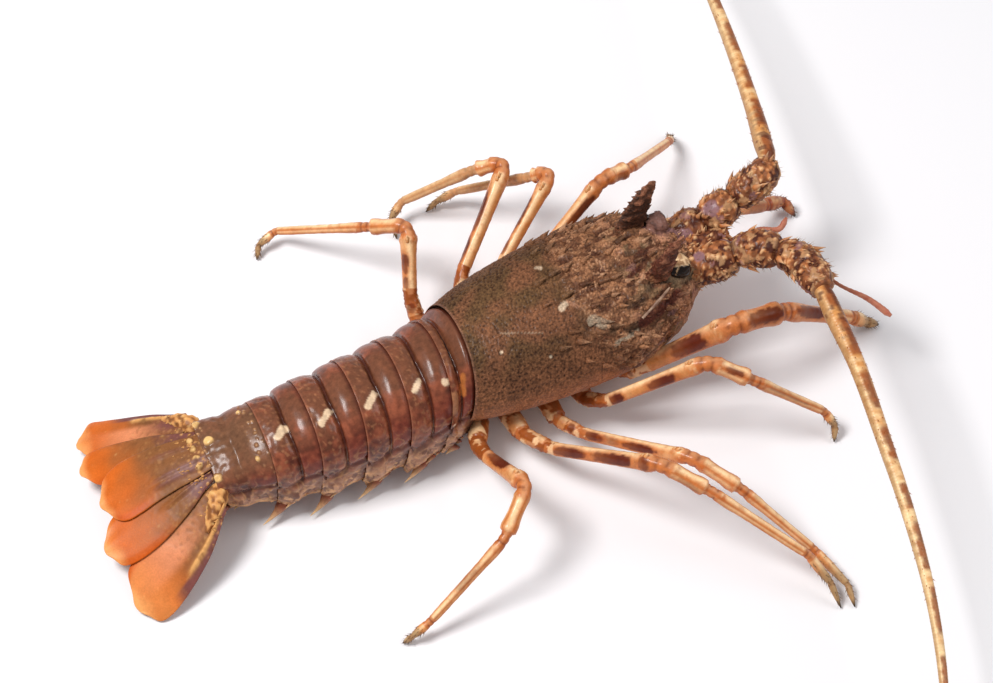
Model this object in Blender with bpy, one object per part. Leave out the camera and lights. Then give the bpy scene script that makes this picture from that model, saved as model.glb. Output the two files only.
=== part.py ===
"""A whole spiny lobster at rest, built from named real sizes.

Working axes: x runs to the head, y to the animal's left, z up from the floor.
All lengths below are millimetres; the origin is moved to the keel at the end.
"""
import math
import random

import bmesh
import bpy
from mathutils import Vector

MM = 0.001
SEED = 41
ORIGIN_X = 45.0          # working x of the middle of the flat keel
ORIGIN_Y = 3.0           # working y of the middle of the flat keel
CLEARANCE = 0.4          # gap between neighbouring pieces

# Sideways bend of the body's middle line: (x, y)
BODY_LINE = [(-170, 1), (-120, 1), (-95, -3.5), (-60, -4.5), (-20, -3), (0, 0),
             (30, 2), (60, 3.7), (90, 4.8), (125, 5)]

# Carapace sections: x, half width, crest height, height of widest line, keel height
CARAPACE = [(0, 29.0, 60.0, 33, 10), (5, 30.8, 61.0, 33, 7), (12, 33, 62, 33, 0),
            (22, 35.2, 63.2, 33, 0), (34, 37, 64.4, 33, 0), (46, 38.3, 65.4, 34, 0),
            (58, 39, 66.2, 35, 0), (70, 39, 67, 36, 0), (80, 38, 67.4, 38, 0),
            (90, 35, 67.6, 41, 3), (99, 31, 67, 43, 8), (107, 26.5, 65, 45, 15),
            (114, 21.5, 61.5, 46, 23), (119, 17.0, 57.5, 46, 30)]
CREST_STEPS = 7          # points from crest to widest line on one side
LOWER_RIM_Z = 25.0       # lower rim of the carapace side
LOWER_RIM_INSET = 0.88   # rim half width as a share of the widest
KEEL_HALF_WIDTH = 8.0    # flat of the breast plate
REAR_LEAN = 0.25         # lean of the rear rim, mm of x per mm of z
REAR_LEAN_LENGTH = 26.0  # the lean fades out over this length
ROUGHNESS = 0.8          # height of the uneven relief of the front half

# Rows of shell spines: angle from the crest, front x, rear x, pitch, spine length
SPINE_ROWS = [(9, 98, 40, 9.0, 4.6), (22, 92, 60, 9.5, 3.4), (34, 101, 44, 8.5, 4.4),
              (47, 104, 40, 8.5, 4.2), (60, 106, 48, 8.5, 3.8), (73, 104, 56, 8.5, 3.6),
              (84, 100, 62, 9.0, 3.0)]

HORN_BASE_X = 96.0
HORN_SIDE = 14.5
HORN_LENGTH = 15.0
HORN_THICK = 7.0
HORN_TIP = (106.0, 16.5, 92.0)
HORN_SPUR = (-5.5, 0.7, 0.9)   # second point: x from the first, share of thickness, of height

EYE_CENTRE = (108.3, 12.6, 62.0)
EYE_RADIUS = 5.8

# Segmented tail: x of the front rim, half width, crest height, skirt height
TAIL_RIMS = [(-0.5, 27.5, 57.0, 14), (-11, 28.5, 57.0, 12), (-31, 27.5, 56.0, 12.5),
             (-52, 26.0, 54.5, 13), (-73, 24.5, 51.0, 13), (-94, 22.0, 45.5, 14),
             (-120, 18.5, 36.5, 16)]
TAIL_LEAN = [0.25, 0.22, 0.18, 0.14, 0.10, 0.06, 0.0]
RIM_GAP = 0.5
SKIRT_SPINE = [3.0, 7.0, 7.5, 7.5, 7.0, 4.5]
TAIL_PROFILE = [(0.0, 0.96), (0.14, 0.98), (0.3, 0.985), (0.46, 0.95), (0.62, 0.985),
                (0.85, 1.0), (1.0, 0.99)]

# Tail fan: a shared arched surface, with the blades stacked on it
FAN_BASE_X = -121.3
FAN_BASE_Z = 32.5
FAN_SLOPE = 0.34
FAN_ARCH = 0.0050
BLADE_THICK = 1.2
BLADE_STACK = 1.6
BLADE_COLUMNS = 5
BLADE_BOW = 2.0          # rounding of the free end of a blade
# name: stack level, then the (x, y) of each side edge from the root to the end
BLADES = {
    "telson": (1,
               [(-121.3, 10.5), (-127, 13), (-136, 15.8), (-145, 17.6), (-153, 18.3),
                (-160, 17), (-165.3, 13.3), (-168.2, 6.5)],
               [(-121.3, -8.5), (-128, -9), (-137, -9), (-146, -9.6), (-154, -10.6),
                (-161, -10.6), (-165.5, -7.6), (-168.2, -1.5)]),
    "uropod_inner_R": (0,
                       [(-122, -6), (-128, -4.5), (-135, -3.5), (-144, -2.5), (-153, -2),
                        (-162, -3), (-169, -6.5), (-173.3, -13)],
                       [(-122, -13), (-127, -16), (-133, -19.6), (-143, -24), (-152, -27),
                        (-162, -28.5), (-169.5, -27.3), (-173.3, -21.5)]),
    "uropod_inner_L": (0,
                       [(-122, 14), (-128, 18), (-137, 23.5), (-147, 28), (-156, 31.5),
                        (-163, 33.5), (-168, 33), (-171, 29)],
                       [(-122, 6), (-130, 5), (-138, 5), (-147, 6), (-156, 8), (-163, 11),
                        (-168, 15), (-171, 21)]),
    "uropod_outer_R": (-1,
                       [(-121.8, -13.5), (-127, -15), (-134, -17.5), (-143, -20.5),
                        (-152, -22), (-161, -24.5), (-168.8, -30), (-170.3, -40)],
                       [(-121.8, -27.5), (-126.5, -34.5), (-133, -41), (-141, -46.5),
                        (-149, -51), (-156.5, -54), (-162.8, -54.3), (-167.6, -49.5)]),
    "uropod_outer_L": (-1,
                       [(-121.8, 27), (-127, 31.5), (-133, 36.5), (-140, 41), (-147, 45.3),
                        (-154, 49.8), (-160.2, 53.2), (-165.6, 48)],
                       [(-121.8, 17), (-128, 18), (-135, 20), (-143, 23), (-151, 26),
                        (-159, 29), (-166, 33), (-169, 40)]),
}

# Walking legs: hip on the body, hip end, thigh start, knee, wrist, end of the hand,
# claw bend, claw tip
LEG_JOINTS = {
    "leg_R5": [(4, -22, 16), (-2.5, -36.5, 22), (-3, -46, 28), (4.4, -76.4, 45),
               (-13.7, -93.5, 37), (-54.3, -105.3, 10), (-63.5, -106.6, 5), (-67.7, -106, 1)],
    "leg_R4": [(18, -22, 15), (19.5, -38, 18), (27, -52, 23), (62, -93, 50.5),
               (78.4, -110.4, 43), (111.4, -144.1, 18.5), (117.6, -156.4, 8.5),
               (118.6, -166.4, 1)],
    "leg_R3": [(37, -20, 14), (38, -36, 15), (44.5, -48.5, 19), (78.5, -91.2, 42),
               (94.4, -110.6, 33.5), (118.3, -138.6, 8.5), (125.5, -158.6, 4.5),
               (124.5, -168.4, 1)],
    "leg_R2": [(53, -18, 13), (54, -31, 16), (60.5, -38.5, 22), (102.2, -54, 53),
               (120.1, -67.4, 45), (152.8, -78.4, 14), (156.5, -84, 7), (154.3, -88.8, 1)],
    "leg_R1": [(71, -13, 11), (77, -24, 17), (84, -28, 23), (122.4, -39.2, 50),
               (149.7, -37.3, 42), (187.5, -37.4, 14), (196, -38.2, 5.5), (202.5, -39.6, 1.5)],
    "leg_L5": [(4, 23, 16), (-2.5, 37, 22), (-2, 46, 29), (7.3, 70.4, 48),
               (-8.8, 83.7, 38), (-44, 117, 10), (-53.5, 115, 6), (-56.4, 110.6, 1)],
    "leg_L4": [(18, 27, 15), (20, 40, 19), (26, 50, 26), (64.3, 86.3, 48),
               (48.4, 93, 40), (17.4, 106.6, 14), (10.5, 103, 8), (10.4, 95.6, 1)],
    "leg_L3": [(37, 28, 14), (39.5, 41, 18), (46, 49, 24), (82, 72.6, 48),
               (71.5, 79, 40), (44.8, 103.3, 12), (35.5, 106, 5), (29.3, 104.8, 1)],
    "leg_L2": [(54, 28, 13), (58, 41, 18), (66, 47, 24), (100.7, 58.9, 48),
               (118.1, 63.7, 42), (151.2, 88.5, 14), (156.5, 95, 6), (157, 101, 1)],
    "leg_L1": [(71, 23, 11), (77, 32, 17), (86, 34, 22), (129, 26, 40),
               (150, 29, 36), (178, 36.3, 14), (190.1, 38.5, 8), (193.8, 31.9, 1.5)],
}
# Radii of the legs: long upper joint, wrist, hand
LEG_RADII = {"1": (5.4, 5.1, 4.4), "2": (3.8, 3.9, 2.7), "3": (3.5, 3.5, 2.6),
             "4": (3.9, 3.6, 2.7), "5": (4.1, 3.6, 2.5)}
LEG_SIDES = 8
HIP_RADIUS = 5.2
BEND_ROUND = 0.16        # how far a bend is cut inside its corner, as a share
JOINT_TRIM = [2.0, 3.5, 5.5, 4.0, 3.0, 1.6]

# Antenna stems and feelers: centre lines, with radii
STEM_LINES = {
    "antenna_base_L": [(111, 13.5, 48), (125.2, 15.0, 52), (134.9, 15.2, 56),
                       (143.1, 15.6, 60), (152.7, 17.1, 64), (160.4, 17.9, 67),
                       (165.4, 20.4, 69), (168, 24.5, 70)],
    "antenna_base_R": [(111, -4, 48), (125.5, -5.6, 51), (135.8, -7.1, 54), (145.3, -9.8, 58),
                       (154.4, -17.7, 61), (160.1, -26.3, 63.5), (162.2, -36.9, 65.5),
                       (161.6, -47, 66.5)],
}
STEM_RADII = [(0.0, 8.6), (0.14, 8.9), (0.3, 8.7), (0.36, 7.2), (0.42, 8.2), (0.56, 8.2),
              (0.62, 6.6), (0.68, 7.6), (0.82, 7.9), (0.94, 7.0), (1.0, 5.4)]
STEM_SIDES = 10
STEM_SPINES = 30
FEELER_LINES = {
    "flagellum_L": [(171.6, 34.3, 69.1), (174.2, 43.5, 67.8),
                    (180.5, 69.2, 64.2), (186.2, 95.9, 60.6), (191.4, 123.4, 57),
                    (196, 152, 53), (199.5, 188, 48), (201, 226, 42.5), (199.5, 262, 37),
                    (195.5, 296, 32), (189, 328, 27)],
    "flagellum_R": [(160.6, -60.9, 66.2), (158.9, -85.2, 65),
                    (152.9, -125.4, 62.2), (146.2, -163.9, 59.5), (137.5, -200.4, 56.8),
                    (125.5, -234.7, 54), (110, -268, 49), (91, -299, 44),
                    (69, -327, 38.5), (46, -350, 33)],
}
FEELER_RADII = [(0.0, 4.5), (0.02, 4.9), (0.12, 4.4), (0.3, 3.6), (0.5, 2.6), (0.7, 1.7),
                (0.85, 1.1), (1.0, 0.5)]
FEELER_ROOT = 2.6        # straight root of a feeler, in line with its stem
FEELER_SIDES = 7
FEELER_STEPS = 26

# Small feelers by the mouth, as centre lines with one radius each
SMALL_FEELERS = {
    "antennule_R": ([(112, 1.5, 38), (130, 2, 38), (148, 0.1, 40), (162, -8.2, 41),
                     (173.3, -18.6, 42), (179.2, -33.7, 42), (190, -45.7, 39),
                     (196, -56, 36.5)], 1.3),
    "antennule_L": ([(112, 8, 38), (130, 8.5, 39), (146.6, 8, 42), (158, 6.5, 44.5),
                     (167, 2.5, 46), (171.5, 5.5, 48)], 1.3),
    "palp_R": ([(82, -27, 62.6), (88, -24.5, 64.2), (94, -21.5, 65), (99.5, -18, 64.6)], 0.9),
}

PALP_ROOM = 9.0          # no shell spines this close to the cheek feeler

COLOURS = {
    "carapace_shell": ((0.16, 0.075, 0.035), 0.7),
    "tail_shell": ((0.15, 0.04, 0.03), 0.45),
    "fan_blade": ((0.62, 0.20, 0.06), 0.5),
    "leg_shell": ((0.62, 0.34, 0.13), 0.45),
    "antenna_shell": ((0.33, 0.17, 0.08), 0.6),
    "eye_ball": ((0.02, 0.015, 0.012), 0.3),
}


def clear_scene():
    for item in list(bpy.data.objects):
        bpy.data.objects.remove(item, do_unlink=True)


def make_materials():
    materials = {}
    for name, (colour, roughness) in COLOURS.items():
        material = bpy.data.materials.new(name)
        material.use_nodes = True
        shader = material.node_tree.nodes["Principled BSDF"]
        shader.inputs["Base Color"].default_value = (*colour, 1.0)
        shader.inputs["Roughness"].default_value = roughness
        materials[name] = material
    return materials


def lookup(table, x, column=1):
    """Straight-line value of one column of a table sorted by its first column."""
    rows = sorted(table)
    if x <= rows[0][0]:
        return rows[0][column]
    for low, high in zip(rows, rows[1:]):
        if x <= high[0]:
            share = (x - low[0]) / (high[0] - low[0])
            return low[column] + (high[column] - low[column]) * share
    return rows[-1][column]


def body_y(x):
    return lookup(BODY_LINE, x)


def add_object(name, points, faces, material):
    """Make a closed mesh object from millimetre points."""
    moved = [((x - ORIGIN_X) * MM, (y - ORIGIN_Y) * MM, z * MM) for x, y, z in points]
    mesh = bpy.data.meshes.new(name)
    mesh.from_pydata(moved, [], faces)
    mesh.materials.append(material)
    work = bmesh.new()
    work.from_mesh(mesh)
    bmesh.ops.recalc_face_normals(work, faces=work.faces)
    bmesh.ops.triangulate(work, faces=work.faces)
    work.to_mesh(mesh)
    work.free()
    item = bpy.data.objects.new(name, mesh)
    bpy.context.scene.collection.objects.link(item)
    return item


def ring_faces(ring_count, size):
    """Faces of a closed loft made of equal rings, with a flat cap at each end."""
    faces = [tuple(range(size)), tuple((ring_count - 1) * size + k for k in range(size))]
    for ring in range(ring_count - 1):
        for k in range(size):
            a = ring * size + k
            b = ring * size + (k + 1) % size
            faces.append((a, b, b + size, a + size))
    return faces


def carapace_section(x, grow=0.0):
    """Half width, crest, widest height and keel of the carapace at x."""
    half = lookup(CARAPACE, x, 1) + grow
    crest = lookup(CARAPACE, x, 2) + grow
    wide = lookup(CARAPACE, x, 3)
    keel = lookup(CARAPACE, x, 4) - grow
    return half, crest, wide, keel


def rear_shift(x, z):
    fade = max(0.0, 1.0 - x / REAR_LEAN_LENGTH)
    return REAR_LEAN * fade * (z - 42.0)


def carapace_point(x, angle, grow=0.0):
    """A point of the upper shell; angle 0 is the crest, 90 the widest line."""
    half, crest, wide, _ = carapace_section(x, grow)
    turn = math.radians(angle)
    side = math.copysign(abs(math.sin(turn)) ** 0.94, turn)
    y = body_y(x) + half * side
    z = wide + (crest - wide) * math.cos(turn) ** 0.92
    return Vector((x + rear_shift(x, z), y, z))


def carapace_half(x, grow):
    """One side of a section from crest to keel, as (side distance, z)."""
    half, crest, wide, keel = carapace_section(x, grow)
    points = []
    for step in range(CREST_STEPS + 1):
        spot = carapace_point(x, 90.0 * step / CREST_STEPS, grow)
        points.append((spot.y - body_y(x), spot.z))
    rim_z = min(LOWER_RIM_Z, wide - 8) if keel < 20 else (wide + keel) / 2
    rim_z = max(rim_z, keel + 3.0)
    points.append((half * 0.975, (wide + rim_z) / 2 + 1.5))
    points.append((half * LOWER_RIM_INSET, rim_z))
    keel_half = min(KEEL_HALF_WIDTH, half * 0.4) + grow
    points.append((half * 0.55 + grow, keel + (rim_z - keel) * 0.62))
    points.append((keel_half, keel))
    points.append((0.0, keel))
    return points


def relief(x, angle, rng):
    """Uneven lumps of the front half of the shell."""
    front = min(1.0, max(0.0, (x - 30.0) / 40.0))
    if abs(angle) > 80:
        return 0.0
    return rng.uniform(-0.5, 1.0) * ROUGHNESS * front


def carapace_mesh(name, grow, material):
    rng = random.Random(SEED)
    points = []
    size = 0
    first = CARAPACE[0][0] - (8 if grow else 0)
    stations = [first] + [row[0] for row in CARAPACE[1:]]
    if grow:
        stations = stations + [CARAPACE[-1][0] + grow]
    for x in stations:
        half = carapace_half(x, grow)
        ring = [(side, z) for side, z in half]
        ring += [(-side, z) for side, z in half[-2:0:-1]]
        size = len(ring)
        for side, z in ring:
            lump = 0.0
            if not grow and 0 < x < CARAPACE[-1][0] and z > 40:
                lump = relief(x, 90.0 * side / max(half[CREST_STEPS][0], 1.0), rng)
            shift = rear_shift(max(x, 0.0), z)
            points.append((x + shift, body_y(x) + side, z + lump))
    return add_object(name, points, ring_faces(len(stations), size), material)


def cone(centre, direction, radius, length, sides=4, sink=1.2, flatten=1.0, turn=0.0):
    """Points and faces of one pointed spine standing on a surface."""
    axis = Vector(direction).normalized()
    up = Vector((0, 0, 1)) if abs(axis.z) < 0.9 else Vector((1, 0, 0))
    across = axis.cross(up).normalized()
    other = axis.cross(across).normalized()
    base = Vector(centre) - axis * sink
    points = []
    for k in range(sides):
        angle = turn + 2 * math.pi * k / sides
        offset = across * math.cos(angle) * radius * flatten
        offset += other * math.sin(angle) * radius
        points.append(tuple(base + offset))
    points.append(tuple(Vector(centre) + axis * length))
    faces = [tuple(range(sides))]
    faces += [(k, (k + 1) % sides, sides) for k in range(sides)]
    return points, faces


def join_spines(item, spines, material):
    """Union a list of (points, faces) spines with one object."""
    group = bpy.data.collections.new(item.name + "_spines")
    bpy.context.scene.collection.children.link(group)
    made = []
    for index, (points, faces) in enumerate(spines):
        spine = add_object(f"{item.name}_spine_{index}", points, faces, material)
        bpy.context.scene.collection.objects.unlink(spine)
        group.objects.link(spine)
        made.append(spine)
    modifier = item.modifiers.new("spines", "BOOLEAN")
    modifier.operation = "UNION"
    modifier.operand_type = "COLLECTION"
    modifier.collection = group
    modifier.solver = "EXACT"
    apply_modifiers(item)
    for spine in made:
        bpy.data.objects.remove(spine, do_unlink=True)
    bpy.data.collections.remove(group)


def apply_modifiers(item):
    graph = bpy.context.evaluated_depsgraph_get()
    mesh = bpy.data.meshes.new_from_object(item.evaluated_get(graph))
    item.modifiers.clear()
    item.data = mesh
    work = bmesh.new()
    work.from_mesh(mesh)
    bmesh.ops.remove_doubles(work, verts=work.verts, dist=0.000002)
    bmesh.ops.dissolve_degenerate(work, edges=work.edges, dist=0.000002)
    bmesh.ops.triangulate(work, faces=work.faces)
    work.to_mesh(mesh)
    work.free()


def trim(item, cutter):
    """Take the grown body away from a piece, so that it seats against the shell."""
    modifier = item.modifiers.new("seat", "BOOLEAN")
    modifier.operation = "DIFFERENCE"
    modifier.object = cutter
    modifier.solver = "EXACT"
    apply_modifiers(item)
    keep_largest(item)


def keep_largest(item):
    """Drop loose crumbs that a cut may leave beside the main body."""
    work = bmesh.new()
    work.from_mesh(item.data)
    seen = set()
    groups = []
    for vert in work.verts:
        if vert.index in seen:
            continue
        group = [vert]
        seen.add(vert.index)
        for spot in group:
            for edge in spot.link_edges:
                other = edge.other_vert(spot)
                if other.index not in seen:
                    seen.add(other.index)
                    group.append(other)
        groups.append(group)
    groups.sort(key=len)
    for group in groups[:-1]:
        bmesh.ops.delete(work, geom=group, context="VERTS")
    work.to_mesh(item.data)
    work.free()


def is_crowded(spot):
    """True where a spine would run into an eye or the cheek feeler."""
    x, offset, z = EYE_CENTRE
    eyes = [Vector((x, body_y(x) + side * offset, z)) for side in (1, -1)]
    if min((spot - eye).length for eye in eyes) < EYE_RADIUS + 5.5:
        return True
    line = [Vector(point) for point in SMALL_FEELERS["palp_R"][0]]
    return min((spot - point).length for point in line) < PALP_ROOM


def carapace_spines():
    """Forward-pointing spines in rows over the front half, and the two horns."""
    rng = random.Random(SEED + 1)
    spines = []
    for angle, front, rear, pitch, length in SPINE_ROWS:
        for side in (1, -1):
            x = front
            while x > rear:
                spot = carapace_point(x + rng.uniform(-2, 2), side * (angle + rng.uniform(-4, 4)))
                x -= pitch
                if is_crowded(spot):
                    continue
                out = Vector((0, spot.y - body_y(x), spot.z - 40.0)).normalized()
                aim = Vector((1.0, 0, 0)) * 0.9 + out * 0.8
                size = length * rng.uniform(0.75, 1.2)
                spines.append(cone(spot, aim, size * 0.45, size, turn=rng.uniform(0, 1.5)))
    for side in (1, -1):
        base = Vector((HORN_BASE_X, body_y(HORN_BASE_X) + side * HORN_SIDE, 62.0))
        tip = Vector((HORN_TIP[0], body_y(HORN_TIP[0]) + side * HORN_TIP[1], HORN_TIP[2]))
        spines.append(cone(base, tip - base, HORN_LENGTH / 2, (tip - base).length, sides=6,
                           sink=3.0, flatten=HORN_THICK / HORN_LENGTH))
        back, thin, low = HORN_SPUR
        base.x += back
        spur = tip + Vector((back, 0, 0)) - base
        spines.append(cone(base, spur, HORN_LENGTH / 2 * thin, spur.length * low, sides=6,
                           sink=3.0, flatten=HORN_THICK / HORN_LENGTH))
    return spines


def ring_points(centre, tangent, across, radius, sides, flat=1.0):
    other = tangent.cross(across).normalized()
    points = []
    for k in range(sides):
        angle = 2 * math.pi * k / sides
        offset = across * math.cos(angle) * radius
        offset += other * math.sin(angle) * radius * flat
        points.append(tuple(centre + offset))
    return points


def loft(name, rings, sides, material, flat=1.0):
    """Closed tube through (centre, tangent, radius) rings, without twist."""
    across = None
    points = []
    for centre, tangent, radius in rings:
        tangent = tangent.normalized()
        if across is None:
            up = Vector((0, 0, 1)) if abs(tangent.z) < 0.9 else Vector((1, 0, 0))
            across = tangent.cross(up)
        across = (across - tangent * across.dot(tangent)).normalized()
        points += ring_points(centre, tangent, across, radius, sides, flat)
    return add_object(name, points, ring_faces(len(rings), sides), material)


def joint_room(spots, k, shapes):
    """Length left free on each side of a bend, so that its inside does not fold."""
    before = (spots[k] - spots[k - 1]).normalized()
    after = (spots[k + 1] - spots[k]).normalized()
    half_turn = before.angle(after) / 2
    radius = max(shapes[k - 1][-1][1], shapes[k][0][1])
    return max(JOINT_TRIM[k - 1], 1.12 * radius * math.tan(half_turn))


def leg_rings(joints, radii):
    """Rings of a jointed leg: swollen ends, narrow joints, pointed claw."""
    upper, wrist, hand = radii
    shapes = [
        [(0.0, HIP_RADIUS), (1.0, HIP_RADIUS)],
        [(0.0, upper * 1.2), (1.0, upper * 0.95)],
        [(0.0, upper * 0.88), (0.3, upper * 0.95), (0.7, upper * 1.0), (1.0, upper * 1.05)],
        [(0.0, wrist * 1.0), (0.6, wrist * 1.05), (1.0, wrist * 0.95)],
        [(0.0, hand * 1.12), (0.5, hand), (1.0, hand * 0.85)],
        [(0.0, hand * 0.8), (1.0, hand * 0.55)],
        [(0.0, hand * 0.5), (1.0, hand * 0.14)],
    ]
    waists = [upper * 1.05, upper * 0.85, upper * 0.95, wrist * 0.72, hand * 0.75, hand * 0.52]
    spots = [Vector(joint) for joint in joints]
    trims = [0.0] + [joint_room(spots, k, shapes) for k in range(1, len(spots) - 1)] + [0.0]
    rings = []
    for k, shape in enumerate(shapes):
        start, end = spots[k], spots[k + 1]
        along = (end - start).normalized()
        before, after = trims[k], trims[k + 1]
        length = (end - start).length - before - after
        for share, radius in shape:
            rings.append((start + along * (before + length * share), along, radius))
        if k < len(shapes) - 1:
            onward = (spots[k + 2] - end).normalized()
            middle = end + (onward - along) * after * BEND_ROUND
            rings.append((middle, along + onward, waists[k]))
    return rings


def smooth_line(points, share):
    """Point and direction on a smooth curve through the given points."""
    spots = [Vector(point) for point in points]
    lengths = [(b - a).length for a, b in zip(spots, spots[1:])]
    goal = share * sum(lengths)
    index = 0
    while index < len(lengths) - 1 and goal > lengths[index]:
        goal -= lengths[index]
        index += 1
    t = min(1.0, goal / lengths[index])
    b, c = spots[index], spots[index + 1]
    a = spots[index - 1] if index > 0 else b * 2 - c
    d = spots[index + 2] if index + 2 < len(spots) else c * 2 - b
    place = (b * 2 + (c - a) * t + (a * 2 - b * 5 + c * 4 - d) * t * t
             + (b * 3 - a - c * 3 + d) * t ** 3) * 0.5
    slope = ((c - a) + (a * 2 - b * 5 + c * 4 - d) * 2 * t
             + (b * 3 - a - c * 3 + d) * 3 * t * t) * 0.5
    return place, slope


def line_tube(name, line, radii, shares, sides, material):
    rings = []
    for share in shares:
        place, slope = smooth_line(line, share)
        rings.append((place, slope, lookup(radii, share)))
    return loft(name, rings, sides, material)


def make_stem(name, material, cutter):
    """Antenna stem of three stout joints, studded with spines."""
    rng = random.Random(SEED + len(name) * (3 if name.endswith("L") else 5))
    line = STEM_LINES[name]
    shares = [row[0] for row in STEM_RADII]
    stem = line_tube(name, line, STEM_RADII, shares, STEM_SIDES, material)
    spines = []
    for index in range(STEM_SPINES):
        share = 0.16 + 0.8 * (index + rng.uniform(-0.3, 0.3)) / STEM_SPINES
        place, slope = smooth_line(line, share)
        slope.normalize()
        turn = index * 2.4 + rng.uniform(-0.4, 0.4)
        side = slope.cross(Vector((0, 0, 1))).normalized()
        out = side * math.cos(turn) + slope.cross(side).normalized() * math.sin(turn)
        if out.z < -0.5:
            continue
        radius = lookup(STEM_RADII, share)
        size = rng.uniform(3.2, 5.4)
        spines.append(cone(place + out * radius * 0.93, out + slope * 0.7, size * 0.42, size,
                           turn=rng.uniform(0, 1.5)))
    join_spines(stem, spines, material)
    trim(stem, cutter)
    return stem


def make_eye(name, side, material, cutter):
    """Round eye on a short stalk, seated in the front of the shell."""
    x, offset, z = EYE_CENTRE
    centre = Vector((x, body_y(x) + side * offset, z))
    axis = Vector((0.55, side * 0.55, 0.5)).normalized()
    rings = []
    profile = [(-7.0, 2.6), (-4.6, 3.2), (-3.0, 4.2), (-0.6, 5.0), (1.8, 4.7), (3.6, 3.5),
               (4.7, 1.6)]
    for distance, radius in profile:
        rings.append((centre + axis * distance, axis, radius * EYE_RADIUS / 5.0))
    eye = loft(name, rings, 10, material)
    trim(eye, cutter)
    return eye


def tail_half(rim, swell, depth):
    """One side of a tail section, crest to underside, as (side distance, z)."""
    half, crest, skirt = rim
    middle = 30.0
    points = []
    for step in range(7):
        turn = math.radians(90.0 * step / 6)
        side = half * swell * math.sin(turn) ** 0.95
        z = middle + (crest * swell - middle) * math.cos(turn) ** 0.9
        points.append((side, z))
    points.append((half * swell * 0.99, skirt + 5.0 - depth * 0.3))
    points.append((half * 0.93, skirt - depth))
    points.append((half * 0.84, skirt + 0.5))
    points.append((half * 0.4, skirt - 1.0))
    points.append((0.0, skirt - 1.0))
    return points


def make_tail_joint(index, material):
    """One ring of the tail: swollen hoop, cross groove and pointed side skirts."""
    front, rear = TAIL_RIMS[index], TAIL_RIMS[index + 1]
    points = []
    size = 0
    x0 = front[0] - RIM_GAP / 2
    x1 = rear[0] + RIM_GAP / 2
    for share, swell in TAIL_PROFILE:
        x = x0 + (x1 - x0) * share
        lean = TAIL_LEAN[index] + (TAIL_LEAN[index + 1] - TAIL_LEAN[index]) * share
        rim = [front[k] + (rear[k] - front[k]) * share for k in (1, 2, 3)]
        depth = SKIRT_SPINE[index] * max(0.0, 1.0 - abs(share - 0.85) / 0.45)
        half = tail_half(rim, swell, depth)
        ring = list(half) + [(-side, z) for side, z in half[-2:0:-1]]
        size = len(ring)
        for side, z in ring:
            points.append((x + lean * (z - 42.0), body_y(x) + side, z))
    faces = ring_faces(len(TAIL_PROFILE), size)
    return add_object(f"abdomen_{index + 1}", points, faces, material)


def fan_height(x, y):
    back = FAN_BASE_X - x
    return FAN_BASE_Z - FAN_SLOPE * back - FAN_ARCH * (y - 1.0) ** 2


def make_blade(name, material):
    """One thin blade of the tail fan, arched to the fan's common surface."""
    level, left, right = BLADES[name]
    rows = len(left)
    points = []
    for side in (1, -1):
        for row in range(rows):
            share = row / (rows - 1)
            thin = BLADE_THICK / 2 * (1.0 - 0.35 * share)
            for column in range(BLADE_COLUMNS):
                across = column / (BLADE_COLUMNS - 1)
                x = left[row][0] + (right[row][0] - left[row][0]) * across
                y = left[row][1] + (right[row][1] - left[row][1]) * across
                x -= BLADE_BOW * 4 * across * (1 - across) * share ** 4
                z = fan_height(x, y) + level * BLADE_STACK + side * thin
                points.append((x, y, z))
    return add_object(name, points, sheet_faces(rows, BLADE_COLUMNS), material)


def sheet_faces(rows, columns):
    """Faces of a closed sheet: top grid, bottom grid and the edge all round."""
    faces = []
    below = rows * columns
    for r in range(rows - 1):
        for c in range(columns - 1):
            a = r * columns + c
            faces.append((a, a + 1, a + columns + 1, a + columns))
            faces.append((below + a, below + a + columns, below + a + columns + 1, below + a + 1))
    edge = [c for c in range(columns)]
    edge += [r * columns + columns - 1 for r in range(1, rows)]
    edge += [(rows - 1) * columns + c for c in range(columns - 2, -1, -1)]
    edge += [r * columns for r in range(rows - 2, 0, -1)]
    for a, b in zip(edge, edge[1:] + edge[:1]):
        faces.append((a, b, below + b, below + a))
    return faces


def make_legs(material, cutter):
    for name, joints in LEG_JOINTS.items():
        leg = loft(name, leg_rings(joints, LEG_RADII[name[-1]]), LEG_SIDES, material)
        trim(leg, cutter)


def feeler_line(name):
    """Middle line of a long feeler, starting just off the end of its stem."""
    end, slope = smooth_line(STEM_LINES["antenna_base_" + name[-1]], 1.0)
    slope.normalize()
    root = [end + slope * CLEARANCE, end + slope * (CLEARANCE + FEELER_ROOT)]
    return [tuple(spot) for spot in root] + FEELER_LINES[name]


def make_feelers(material, cutter):
    shares = [k / FEELER_STEPS for k in range(FEELER_STEPS + 1)]
    for name in FEELER_LINES:
        line_tube(name, feeler_line(name), FEELER_RADII, shares, FEELER_SIDES, material)
    for name, (line, radius) in SMALL_FEELERS.items():
        radii = [(0.0, radius), (0.6, radius * 0.9), (0.8, radius * 1.25), (1.0, radius * 0.5)]
        steps = [k / 9 for k in range(10)]
        item = line_tube(name, line, radii, steps, 6, material)
        trim(item, cutter)


def main():
    clear_scene()
    materials = make_materials()
    shell = carapace_mesh("carapace", 0.0, materials["carapace_shell"])
    cutter = carapace_mesh("body_space", CLEARANCE + 0.9, materials["carapace_shell"])
    join_spines(shell, carapace_spines(), materials["carapace_shell"])
    for name, side in (("eye_L", 1), ("eye_R", -1)):
        make_eye(name, side, materials["eye_ball"], cutter)
    for name in STEM_LINES:
        make_stem(name, materials["antenna_shell"], cutter)
    make_feelers(materials["antenna_shell"], cutter)
    make_legs(materials["leg_shell"], cutter)
    for index in range(6):
        make_tail_joint(index, materials["tail_shell"])
    for name in BLADES:
        make_blade(name, materials["fan_blade"])
    bpy.data.objects.remove(cutter, do_unlink=True)


main()
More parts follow.
